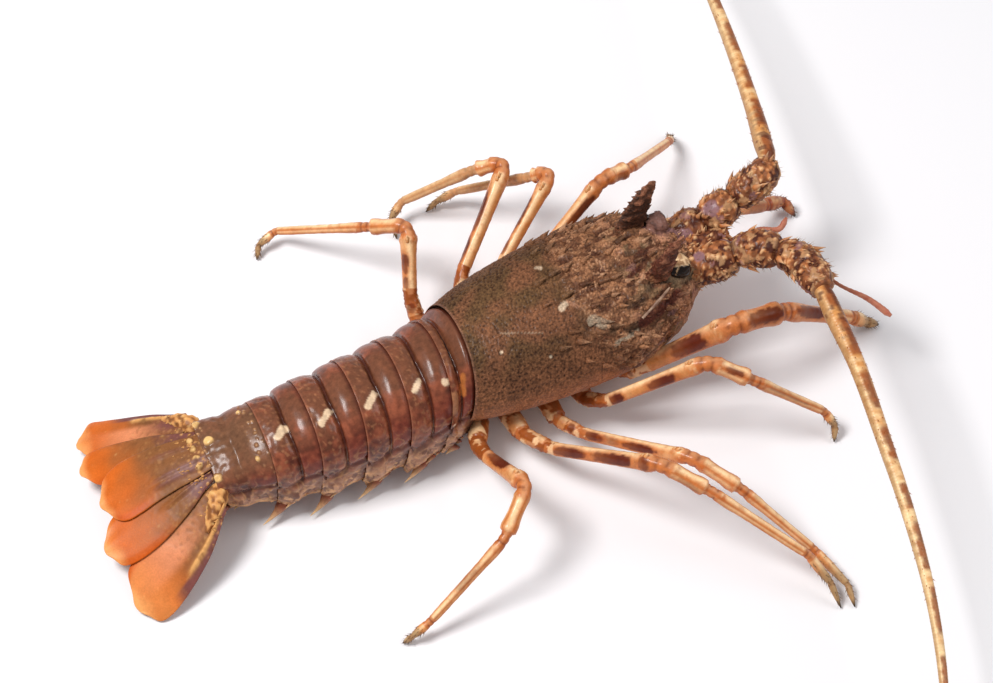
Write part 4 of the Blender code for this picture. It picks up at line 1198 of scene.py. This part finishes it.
def make_blade(name, material):
    """One blade: a hard ridged root that runs out into a soft rayed orange web."""
    skin = Skin()
    s, a, flat = blade_sheet(name)
    outer = a if name.endswith("L") else 1 - a
    drift = cloud(flat, 8, 71)
    mottle = cloud(flat, 2.2, 72)
    hard = fade(s + 0.12 * cloud(flat, 9, 70), 0.36, 0.56)
    ridge = blade_ridges(name, s, a, outer)
    beads = telson_beads(name, flat, mottle)
    wave = np.sin(a * 17 + BLADES[name][0]) * ramp(s, 0.6, 1)
    relief = 1.4 * ridge + hard * (0.25 * drift + 0.12 * mottle) + 0.12 * wave + 1.1 * beads
    edge = np.minimum(np.minimum(a, 1 - a) * 9, 1)
    thick = BLADE_THICK / 2 * (1 - 0.45 * s) * np.sqrt(np.clip(edge, 0.02, 1))
    top, bottom = flat.copy(), flat.copy()
    top[..., 2] += thick + relief * np.clip(edge * 1.5, 0, 1)
    bottom[..., 2] += -thick + 0.1 * wave
    nodule = ramp(0.42 - grains(top, 2.6, 76), 0, 0.25) * hard
    tints = layered(paint_web(name, s, a, drift), [
        *paint_root(name, s, a, outer, ridge, mottle),
        (FAN_YELLOW, nodule * (0.6 * fade(s, 0.06, 0.2) + 0.15)),
        (TAIL_YELLOW, 0.8 * ramp(beads + 0.5 * mottle, 0.2, 0.9)),
        (FAN_BROWN * 0.55, 0.35 * hard * ramp(-mottle, 0.1, 0.5))])
    rough = 0.34 + 0.12 * hard
    points, colours, gloss = (np.concatenate((upper, lower[:, ::-1]), axis=1) for upper, lower
                              in ((top, bottom), (tints, tints * 0.85), (rough, rough)))
    skin.add(points, sheet_faces(BLADE_ROWS, BLADE_COLUMNS), colours, gloss)
    blade_spines(skin, name, top, ridge)
    if name in BLADE_ROOTS:
        blade_root(skin, name)
    return skin.make(name + "_blade", material, "fan_blade", name)


def blade_root(skin, name):
    """The knobbed joint that ties an outer blade to the last tail ring."""
    line, widths = BLADE_ROOTS[name]
    centres = smooth_path(line, 40)
    share = np.linspace(0, 1, 40)
    points, out, _ = sweep(centres, np.interp(share, np.linspace(0, 1, 4), widths), 32)
    lump = cloud(points, 2.2, 77)
    knob = ramp(0.42 - grains(points, 2.6, 78), 0, 0.3)
    tints = layered(TAIL_ORANGE, [
        (FAN_YELLOW, 0.5 + 1.4 * lump),
        (TAIL_YELLOW, 0.85 * knob),
        (FAN_BROWN, 0.9 * ramp(-lump, 0, 0.25))])
    skin.add_rings(points + out * (0.7 * lump + 0.4 * knob)[..., None], tints, 0.4)


def blade_spines(skin, name, top, ridge):
    """Small backward spines on the hard root of a blade."""
    rng = random.Random(SEED + 80 + len(name))
    roots, sizes = [], []
    rows, columns = ridge.shape
    while len(roots) < BLADE_SPINES:
        row = rng.randrange(3, int(rows * 0.24))
        column = rng.randrange(3, columns - 3)
        if ridge[row, column] < 0.3 and rng.random() < 0.9:
            continue
        roots.append(top[row, column] - np.array((0, 0, 0.2)))
        sizes.append(rng.uniform(0.6, 1.4))
    sizes = np.array(sizes)
    aims = np.array([(-0.9, rng.uniform(-0.3, 0.3), 0.5) for _ in roots])
    shade = np.array([rng.random() for _ in roots])
    foot = mix(FAN_BROWN, FAN_YELLOW, shade)
    add_spines(skin, roots, aims, sizes, sizes * 0.42, foot, FAN_YELLOW, sides=6)


# Colours of the legs
LEG_TAN = paint(216, 142, 80)
LEG_LIGHT = paint(252, 214, 164)
LEG_ORANGE = paint(190, 96, 38)
LEG_DARK = paint(88, 26, 14)
LEG_TIP = paint(160, 128, 88)
LEG_OLIVE = paint(200, 158, 112)
LEG_RED = paint(134, 58, 40)
CLAW_POINT = paint(60, 46, 36)
BRISTLE_COUNT = 70

# Radii along each stretch of a leg, as shares of its size: (share, radius)
LEG_SHAPES = [
    [(0, 0.9), (0.5, 0.92), (1, 0.82)],
    [(0, 0.95), (0.5, 0.9), (1, 0.88)],
    [(0, 0.84), (0.3, 0.86), (0.7, 0.94), (0.88, 1.02), (0.96, 1.1), (1, 1.04)],
    [(0, 1.04), (0.2, 0.98), (0.6, 0.98), (0.88, 1.1), (1, 1.04)],
    [(0, 1.04), (0.08, 1.08), (0.24, 0.96), (0.6, 0.88), (0.9, 0.86), (1, 0.82)],
    [(0, 0.8), (0.4, 0.82), (1, 0.62)],
    [(0, 0.6), (0.5, 0.44), (1, 0.1)],
]
LEG_ROWS = [14, 16, 76, 28, 64, 20, 16]


def leg_stations(joints, sizes):
    """Centres and radii down a jointed leg, with the stretch and the share of each."""
    upper, wrist, hand = sizes
    scales = [HIP_RADIUS, upper, upper, wrist, hand, hand, hand]
    spots = [np.array(joint, float) for joint in joints]
    trims = [0]
    for k in range(1, 7):
        before = unit(spots[k] - spots[k - 1])
        after = unit(spots[k + 1] - spots[k])
        half_turn = math.acos(np.clip(np.dot(before, after), -1, 1)) / 2
        radius = max(scales[k - 1], scales[k])
        trims.append(max(JOINT_TRIM[k - 1], 1.12 * radius * math.tan(half_turn)))
    trims.append(0)
    stations = []
    for k in range(7):
        start, end = spots[k], spots[k + 1]
        along = unit(end - start)
        first = start + along * trims[k]
        last = end - along * trims[k + 1]
        for share in np.linspace(0, 1, LEG_ROWS[k]):
            radius = float(curve(LEG_SHAPES[k], share)) * scales[k]
            stations.append((first + (last - first) * share, radius, k, share))
        if k < 6:
            onward = unit(spots[k + 2] - end)
            leave = end + onward * trims[k + 1]
            low = min(stations[-1][1], LEG_SHAPES[k + 1][0][1] * scales[k + 1])
            for t in np.linspace(0.1, 0.9, 9):
                spot = last * (1 - t) ** 2 + end * 2 * t * (1 - t) + leave * t * t
                waist = low * (1 - 0.07 * math.sin(math.pi * t))
                stations.append((spot, waist, k + 0.5, t))
    return stations


def leg_patches(name, p, s, turn, mottle, tints):
    """The dark patches of one leg, each with a soft orange border."""
    for segment, start, end, centre_turn, half_width, strength in LEG_PATCHES[name]:
        gap = turn_gap(turn, centre_turn) / half_width
        along = np.abs(s - (start + end) / 2) / ((end - start) / 2 + 0.03)
        away = (gap ** 2.4 + along ** 2.4) ** 0.42 + 0.25 * mottle
        depth = strength * (0.72 + 0.24 * ramp(s, start, start + 0.7 * (end - start)))
        tints = layered(tints, [
            (LEG_ORANGE, 0.6 * strength * (fade(away, 1, 1.5) * (p == segment))),
            (LEG_DARK, depth * (fade(away, 0.8, 1.04) * (p == segment)))])
    return tints


def paint_leg(name, p, s, turn, points, fields):
    """Colours of one leg from its stretches, shares along them and turns, with a painted highlight
    along the top and painted shade underneath.
    """
    mottle, drift, joint, knuckle, knobs, coxa, bands = fields
    # how far each point faces down, for the painted shade underneath
    under = -np.cos(np.radians(turn))
    wrist = (p > 2.9) * (p < 4.1)
    patch = patches(points + 0.8 * mottle[..., None], 4, 33)
    tints = layered(LEG_TAN, [
        # top of the leg lighter: partly its pale upper ridge, partly a painted highlight
        (LEG_LIGHT, 0.1 + 0.3 * drift + 0.85 * hump(turn, 8, 26)),
        # lower side deeper orange as painted shade, besides random orange mottle
        (LEG_ORANGE, 0.6 * ramp(under, -0.6, 0.4) + 0.35 * ramp(mottle, 0.15, 0.5)),
        (LEG_ORANGE, 0.75 * (np.maximum(hump(turn, -38, 13), hump(turn, 44, 13)) * wrist)),
        (LEG_LIGHT, 0.5 * (hump(turn, -62, 12) * wrist)),
        (LEG_ORANGE, 0.8 * knuckle * (0.5 + 0.9 * mottle)),
        (LEG_ORANGE, 0.7 * joint),
        (LEG_DARK, 0.6 * bands * ramp(mottle, -0.4, 0.2)),
        (LEG_ORANGE * 0.55, coxa * (0.35 + 0.6 * (patch < 0.4))),
        (LEG_LIGHT, 0.6 * coxa * (patch > 0.72) + 0.35 * knobs * knuckle)])
    tints = leg_patches(name, p, s, turn, mottle, tints)
    claw = (p == 5) * ramp(s, 0.1, 0.9) + (p >= 5.4)
    tints = layered(tints, [
        (LEG_OLIVE, 0.6 * (p >= 3.4) * (name in LEG_PALE_HANDS)),
        (LEG_RED, (p > 4.4) * (0.6 + 0.5 * mottle) * (name == LEG_RED_CLAW)),
        (LEG_TIP, 0.8 * claw * (name != LEG_RED_CLAW)),
        (CLAW_POINT, (p == 6) * ramp(s, 0.5, 0.95))])
    return tints, 0.34 + 0.12 * joint + 0.1 * claw


def make_leg(name, material):
    """A jointed walking leg with dark patches, a spined knee and a bristly dark claw."""
    skin = Skin()
    seed = sum(ord(letter) for letter in name)
    stations = leg_stations(LEG_JOINTS[name], LEG_RADII[name[-1]])
    centres, radii, part, share = (np.array(column) for column in zip(*stations))
    points, out, turn = sweep(centres, radii, LEG_SIDES)
    p = np.broadcast_to(part[:, None], turn.shape)
    s = np.broadcast_to(share[:, None], turn.shape)
    top = np.cos(np.radians(turn))
    mottle = cloud(points, 2.4, seed % 17)
    drift = cloud(points, 9, seed % 13)
    joint = (p % 1 > 0.1).astype(float)
    knuckle = ((p == 2) * ramp(s, 0.86, 0.97) + (p == 3) * ramp(s, 0.8, 0.98)
               + (p == 3) * fade(s, 0, 0.15) + (p == 4) * fade(s, 0, 0.1))
    knobs = ramp(0.45 - grains(points, 2.4, 31), 0, 0.3)
    coxa = (p < 1.6).astype(float)
    flat = ((p == 2) | (p == 4)) * hump(np.abs(turn), 58, 26) * 0.1
    bands = joint * (hump(s, 0.3, 0.09) + hump(s, 0.7, 0.09)) * (p > 1.6)
    relief = radii[:, None] * (knuckle * 0.05 * np.maximum(top, 0) - flat - 0.12 * bands)
    relief = relief + 0.12 * mottle * (1 - joint) + 0.35 * knobs * (0.6 * knuckle + coxa)
    points = points + out * relief[..., None]
    fields = (mottle, drift, joint, knuckle, knobs, coxa, bands)
    skin.add_rings(points, *paint_leg(name, p, s, turn, points, fields))
    knee_spines(skin, points, out, part, share, top)
    leg_bristles(skin, points, out, part, random.Random(SEED + 100 + seed))
    return skin.make(name + "_shell", material, "leg_shell", name)


def knee_spines(skin, points, out, part, share, top):
    """Two short spines on top of each thigh's far end."""
    for at, size in ((0.93, 2.2), (0.98, 3)):
        row = int(np.argmin(np.abs(part - 2) * 10 + np.abs(share - at)))
        column = int(np.argmax(top[row]))
        along = unit(points[row].mean(axis=0) - points[row - 4].mean(axis=0))
        aim = out[row, column] * 0.7 + along * 0.6
        add_spines(skin, points[row, column][None] - out[row, column] * 0.3, aim, [size],
                   [size * 0.4], LEG_TAN, LEG_LIGHT, sides=8)


def leg_bristles(skin, points, out, part, rng):
    """Stiff brown hairs round the claw and the end of the hand."""
    rows = np.where(part >= 5)[0]
    roots, aims, sizes = [], [], []
    for _ in range(BRISTLE_COUNT):
        row = rows[rng.randrange(2, len(rows) - 3)]
        column = rng.randrange(points.shape[1])
        along = unit(points[row + 2].mean(axis=0) - points[row - 2].mean(axis=0))
        root = points[row, column]
        if root[2] < 2:
            continue
        roots.append(root)
        aims.append(along * 1.3 + out[row, column])
        sizes.append(rng.uniform(1, 2.2))
    sizes = np.array(sizes)
    add_spines(skin, roots, aims, sizes, sizes * 0.07 + 0.04, paint(90, 60, 40),
               paint(150, 110, 70), sides=3)


# Colours of the stems
STEM_BROWN = paint(146, 88, 56)
STEM_ORANGE = paint(208, 132, 78)
STEM_DARK = paint(78, 38, 26)
STEM_TAN = paint(240, 196, 144)
SPINE_TIP_DARK = paint(120, 66, 44)
SPINE_TIP_PALE = paint(240, 196, 150)
HAIR_FOOT = paint(120, 84, 52)
HAIR_TIP = paint(190, 150, 96)
STEM_SPINES = 170
HAIR_COUNT = 260
HAIR_RADIUS = 0.14

# Middle line and radii of the plate between the stems
BRIDGE_LINE = [(110, 5, 50), (120, 5, 51), (130, 4.5, 53), (140, 4, 57)]
BRIDGE_RADII = (8, 6.2, 4.6, 1.2)

# Smooth mauve plates of the stems: share along, turn from the top towards the head, radius
STEM_PLATES = {"antenna_base_L": [(0.2, 42, 3.2), (0.47, 12, 4.4)],
               "antenna_base_R": [(0.15, 6, 3), (0.34, 54, 3.8)]}


def stem_tints(points, lumps, drift, mottle):
    """Patchy brown, orange and tan with a few mauve cells."""
    share = patches(points + 1.4 * mottle[..., None], 4.2, 93)
    tints = layered(STEM_BROWN, [
        (STEM_ORANGE, 0.4 + 0.9 * drift + 0.6 * mottle),
        (STEM_DARK, 0.45 * (share < 0.3) + 0.6 * ramp(0.5 - lumps, 0, 0.5)),
        (STEM_TAN, 0.3 * (share > 0.76) + 0.7 * ramp(lumps + mottle, 0.7, 1.1))])
    return mix(tints, MAUVE, 0.6 * (share > 0.5) * (share < 0.56))


def stem_bridge(skin):
    """The knobbly plate that fills the corner between the two stems."""
    centres = smooth_path(BRIDGE_LINE, 60)
    share = np.linspace(0, 1, 60)
    points, out, _ = sweep(centres, np.interp(share, (0, 0.5, 0.85, 1), BRIDGE_RADII), 48)
    mottle = cloud(points, 2.2, 92)
    lumps = lumps_of(points, mottle)
    tints = stem_tints(points, lumps, cloud(points, 7, 91), mottle)
    points = points + out * (0.6 * lumps + 0.7 * mottle)[..., None]
    skin.add_rings(points, tints, 0.5)
    rng = random.Random(SEED + 300)
    picks = pick_points(rng, 70, (4, 58), 48)
    sizes = draws(rng, 1.2, 3, picks[0])
    add_spines(skin, points[picks], out[picks] + (0.7, 0, 0.3), sizes, sizes * 0.38,
               STEM_BROWN, STEM_TAN)


def stem_plates(name, points, turn, mottle):
    """1 on the smooth mauve plates of a stem and 0 beside them."""
    plate = np.zeros(turn.shape)
    for at, plate_turn, radius in STEM_PLATES[name]:
        row = int(at * (STEM_ROWS - 1))
        column = int(np.argmin(turn_gap(turn[row], plate_turn)))
        away = np.linalg.norm(points - points[row, column], axis=-1) / radius
        plate = np.maximum(plate, fade(away + 0.25 * mottle, 0.75, 1))
    return plate


def stem_spines(skin, rng, centres, points, out, plate):
    """Thick forward spines of two sizes, none on the plates, and stiff hairs."""
    roots, aims, sizes, shades = [], [], [], []
    for index in range(STEM_SPINES):
        row = rng.randrange(8, STEM_ROWS - 4)
        column = rng.randrange(STEM_SIDES)
        if plate[row, column] > 0.3 or out[row, column, 2] < -0.75:
            continue
        along = unit(centres[row + 3] - centres[row - 3])
        roots.append(points[row, column] - out[row, column] * 0.4)
        aims.append(out[row, column] + along * 0.75)
        sizes.append(rng.uniform(2.8, 4.6) if index % 6 == 0 else rng.uniform(1, 2.4))
        shades.append(rng.random())
    sizes, shades = np.array(sizes), np.array(shades)
    forward = unit(centres[-1] - centres[0])
    add_spines(skin, roots, aims, sizes, sizes * 0.36, mix(STEM_DARK, STEM_ORANGE, shades),
               mix(SPINE_TIP_DARK, SPINE_TIP_PALE, shades), sides=7, bend=forward * 0.3)
    hairs = pick_points(rng, HAIR_COUNT, (20, STEM_ROWS - 2), STEM_SIDES)
    sizes = draws(rng, 1.6, 3.4, hairs[0])
    add_spines(skin, points[hairs], out[hairs] + forward * 0.6, sizes,
               np.full(HAIR_COUNT, HAIR_RADIUS), HAIR_FOOT, HAIR_TIP, sides=3)


def make_stem(name, material):
    """Stout antenna stem of three rings, covered with spines and stiff hairs."""
    skin = Skin()
    centres = smooth_path(STEM_LINES[name], STEM_ROWS)
    share = np.linspace(0, 1, STEM_ROWS)
    points, out, turn = sweep(centres, curve(STEM_RADII, share), STEM_SIDES)
    s = np.broadcast_to(share[:, None], turn.shape)
    mottle = cloud(points, 2.2, 92)
    lumps = lumps_of(points, mottle)
    seam = hump(s, 0.355, 0.012) + hump(s, 0.62, 0.012)
    plate = stem_plates(name, points, turn, mottle)
    tints = layered(stem_tints(points, lumps, cloud(points, 7, 91), mottle), [
        (MAUVE, 0.9 * plate),
        (STEM_DARK, 0.85 * seam)])
    relief = (0.65 * lumps + 0.7 * mottle) * (1 - plate) - 1.4 * seam
    points = points + out * relief[..., None]
    skin.add_rings(points, tints, 0.5)
    if name.endswith("R"):
        stem_bridge(skin)
    rng = random.Random(SEED + len(name) * (3 if name.endswith("L") else 5))
    stem_spines(skin, rng, centres, points, out, plate)
    return skin.make(name + "_shell", material, "stem_shell", name)


# Colours of the feelers
FEELER_GOLD = paint(216, 150, 86)
FEELER_PALE = paint(250, 214, 160)
FEELER_OLIVE = paint(172, 132, 88)
FEELER_DARK = paint(142, 66, 32)
FEELER_DEEP = paint(96, 48, 30)
FEELER_PINK = paint(190, 124, 98)
FEELER_RED = paint(176, 96, 74)
PALP_DARK = paint(128, 96, 80)
PALP_PALE = paint(176, 146, 122)
ROD_WAVES = 46
RING_PITCH = 1.5
FEELER_SPINES = 150
STREAK_PITCH = 27  # length of one dark streak and the gap after it


def paint_flagellum(seed, points, turn, s, phase, ring):
    """Gold with long dark streaks along the side that faces up and to the head, and a painted
    highlight along the upper rear side.
    """
    mottle = cloud(points, 3, 95)
    wander = cloud(np.stack((phase / 16, s * 0, s * 0), axis=-1), 1, 97 + seed)
    beat = np.cos(2 * math.pi * (phase / STREAK_PITCH + 0.35 * wander))
    side = np.sin(np.radians(turn)) + 0.25 * mottle + 0.3 * wander
    off = np.abs(turn - 28 - 25 * wander) + 22 * mottle
    streak = ramp(beat, -0.8, -0.35) * fade(off, 24, 52)
    root = fade(s, 0.04, 0.13) * ramp(mottle + 0.4 * side, -0.1, 0.2)
    return layered(FEELER_GOLD, [
        # paler with mottle and towards the tip; the pale band at turn -35, on the side facing the
        # main light, is a painted highlight
        (FEELER_PALE, 0.9 * mottle + 0.4 * hump(turn, -35, 30) + 0.8 * ramp(s, 0.08, 0.4)),
        (FEELER_OLIVE, 0.7 * ramp(-side, 0.45, 0.9)),
        (FEELER_DARK, 0.8 * streak),
        (FEELER_DEEP, 0.35 * streak * ramp(mottle, -0.1, 0.3)),
        (FEELER_DEEP, 0.8 * root),
        (FEELER_DARK, 0.05 * (1 - ring))])


def make_flagellum(name, material):
    """A long stiff feeler of fine rings, gold with long dark bands."""
    skin = Skin()
    seed = ord(name[-1])
    stem = smooth_path(STEM_LINES["antenna_base_" + name[-1]], 80)
    slope = unit(stem[-1] - stem[-2])
    route = [stem[-1] + slope * gap for gap in (CLEARANCE, CLEARANCE + FEELER_ROOT)]
    centres = smooth_path(route + FEELER_LINES[name], FEELER_ROWS)
    share = np.linspace(0, 1, FEELER_ROWS)
    points, out, turn = sweep(centres, FEELER_SLIM * curve(FEELER_RADII, share), FEELER_SIDES)
    s = np.broadcast_to(share[:, None], turn.shape)
    phase = s * np.linalg.norm(np.diff(centres, axis=0), axis=1).sum()
    ring = np.cos(phase * 2 * math.pi / RING_PITCH)
    tints = paint_flagellum(seed, points, turn, s, phase, ring)
    points = points + out * (0.05 * ring * (1 - 0.6 * s))[..., None]
    skin.add_rings(points, tints, 0.42)
    rng = random.Random(SEED + 200 + seed)
    picks = pick_points(rng, FEELER_SPINES, (6, 420), FEELER_SIDES)
    along = unit(centres[picks[0] + 3] - centres[picks[0] - 3])
    sizes = draws(rng, 0.7, 1.5, picks[0])
    add_spines(skin, points[picks], out[picks] + along * 1.2, sizes, sizes * 0.16, FEELER_DARK,
               FEELER_GOLD, sides=4)
    return skin.make(name + "_rings", material, "feeler", name)


def make_small_feeler(name, material):
    """One of the thin rods in front of the head or on the cheek."""
    skin = Skin()
    line, radius = SMALL_FEELERS[name]
    share = np.linspace(0, 1, ROD_ROWS)
    radii = radius * np.interp(share, *zip(*ROD_SHAPES[name]))
    points, out, _ = sweep(smooth_path(line, ROD_ROWS), radii, ROD_SIDES)
    mottle = cloud(points, 2, 98)
    if name == "palp_R":
        tints = mix(PALP_DARK, PALP_PALE, 0.4 + mottle)
    else:
        tints = mix(FEELER_PINK, FEELER_RED, 0.3 + mottle)
    wave = 0.06 * np.cos(share * 2 * math.pi * ROD_WAVES)
    skin.add_rings(points + out * wave[:, None, None], tints, 0.4)
    return skin.make(name + "_rod", material, "feeler", name)


# Colours of the tissue over each eye, and of its flecks
EYE_BLACK = paint(30, 20, 15)
EYE_CAPS = {-1: (paint(236, 200, 156), paint(150, 104, 66)),
            1: (paint(138, 98, 86), paint(84, 58, 52))}

# Distance from the eye's centre along its axis, and radius
EYE_PROFILE = [(-7, 3), (-4.6, 3.7), (-3, 4.9), (-0.6, 5.8), (1.8, 5.4), (3.6, 4.1),
               (5, 2.2), (5.7, 0.3)]


def make_eye(name, material):
    """A black glossy eye half covered by tissue."""
    skin = Skin()
    side = EYE_SIDES[name]
    centre = eye_centre(side)
    axis = unit(np.array((0.55, side * 0.55, 0.5)))
    distances = np.linspace(-7, 5.7, 60)
    points, _, _ = sweep(centre + axis * distances[:, None], curve(EYE_PROFILE, distances), 48)
    facing = unit(points - centre)
    mottle = cloud(points, 2, 99) + 0.5 * cloud(points, 0.9, 98)
    upward = facing @ np.array((0.33, -0.78 * side, 0.53))
    wedge = hump(facing @ np.array((0.92, 0.39 * side, 0)) + 0.15 * mottle, -0.05, 0.1)
    cream = ramp(upward + 0.3 * mottle + 0.45 * wedge, 0.02, 0.12)
    cap, fleck = EYE_CAPS[side]
    tints = layered(EYE_BLACK, [
        (cap, cream),
        (fleck, cream * ramp(mottle, 0.05, 0.4) * 0.8)])
    lobes = 1.1 * (1 - cream) * ramp(upward, -1, -0.5) * (side < 0)
    points = points + facing * (0.6 * cream * (1 + 1.6 * mottle) + lobes)[..., None]
    skin.add_rings(points, tints, 0.16 + 0.3 * cream)
    return skin.make(name + "_globe", material, "eye_ball", name)


def make_body():
    """All 31 pieces of the animal, with the materials they share."""
    shell = node_material("Rough head shell", 0.7, 0.28, 0.08, pores=0.8)
    tail = node_material("Glossy tail shell", 0.9, 0.1, 0.36, cloud_size=2.6, cloud_share=0.5)
    fan = node_material("Fan web", 0.8, 0.04, 0.03, cloud_size=7, cloud_share=0.2)
    leg = node_material("Glossy leg shell", 0.9, 0.05, 0.3, cloud_size=3, cloud_share=0.25)
    stem = node_material("Spiny stem shell", 0.7, 0.15, 0.2, cloud_size=3)
    feeler = node_material("Ringed feeler", 0.8, 0.05, 0.2, cloud_size=3, cloud_share=0.2)
    eye = node_material("Eye", 0.8, 0.1, 0.25, cloud_size=2, cloud_share=0.2)
    make_carapace(shell)
    for maker, names, material in (
            (make_tail_ring, range(6), tail), (make_blade, BLADES, fan),
            (make_leg, LEG_JOINTS, leg), (make_stem, STEM_LINES, stem),
            (make_flagellum, FEELER_LINES, feeler), (make_small_feeler, SMALL_FEELERS, feeler),
            (make_eye, EYE_SIDES, eye)):
        for name in names:
            maker(name, material)


def to_frame(spot):
    """A place of the working axes, in the axes and metres of the frame."""
    return Vector(((np.array(spot, float) - ORIGIN) * MM).tolist())


def make_camera():
    """The camera that stands where the photograph's did."""
    azimuth = math.radians(VIEW_AZIMUTH)
    elevation = math.radians(VIEW_ELEVATION)
    back = Vector((math.sin(azimuth) * math.cos(elevation),
                   -math.cos(azimuth) * math.cos(elevation), math.sin(elevation)))
    right = Vector((math.cos(azimuth), math.sin(azimuth), 0))
    up = back.cross(right)
    data = bpy.data.cameras.new("Camera")
    data.lens = LENS
    data.sensor_width = SENSOR
    camera = bpy.data.objects.new("Camera", data)
    turn = Matrix((right, up, back)).transposed().to_4x4()
    camera.matrix_world = Matrix.Translation(to_frame(LOOK_AT) + back * VIEW_DISTANCE * MM) @ turn
    bpy.context.scene.collection.objects.link(camera)
    bpy.context.scene.camera = camera


def soft_light(name, direction, distance, size, power, colour):
    """A square soft box that shines on the body from a direction."""
    data = bpy.data.lights.new(name, "AREA")
    data.shape = "SQUARE"
    data.size = size
    data.energy = power
    data.color = colour
    light = bpy.data.objects.new(name, data)
    aim = Vector(direction).normalized()
    light.location = to_frame(LOOK_AT) + aim * distance
    light.rotation_euler = aim.to_track_quat("Z", "Y").to_euler()
    bpy.context.scene.collection.objects.link(light)


def make_stage():
    """White table, even white surroundings and two soft boxes."""
    bpy.ops.mesh.primitive_plane_add(size=8, location=(0, 0, 0))
    floor = bpy.context.object
    floor.name = "Table"
    material = bpy.data.materials.new("White table")
    material.use_nodes = True
    shader = material.node_tree.nodes["Principled BSDF"]
    shader.inputs["Base Color"].default_value = (0.9, 0.895, 0.91, 1)
    shader.inputs["Roughness"].default_value = 0.9
    shader.inputs["Specular IOR Level"].default_value = 0.1
    floor.data.materials.append(material)
    soft_light("Main soft box", (-0.46, 0.12, 0.88), 1.3, 0.42, 15, (1, 0.985, 0.98))
    soft_light("Side soft box", (0.75, -0.25, 0.75), 1.4, 0.7, 4.5, (1, 0.99, 1))
    world = bpy.data.worlds.new("Studio")
    world.use_nodes = True
    sky = world.node_tree.nodes["Background"]
    sky.inputs["Color"].default_value = (0.97, 0.97, 1, 1)
    sky.inputs["Strength"].default_value = 0.36
    bpy.context.scene.world = world
    bpy.context.scene.view_settings.view_transform = "Standard"


make_camera()
make_stage()
make_body()
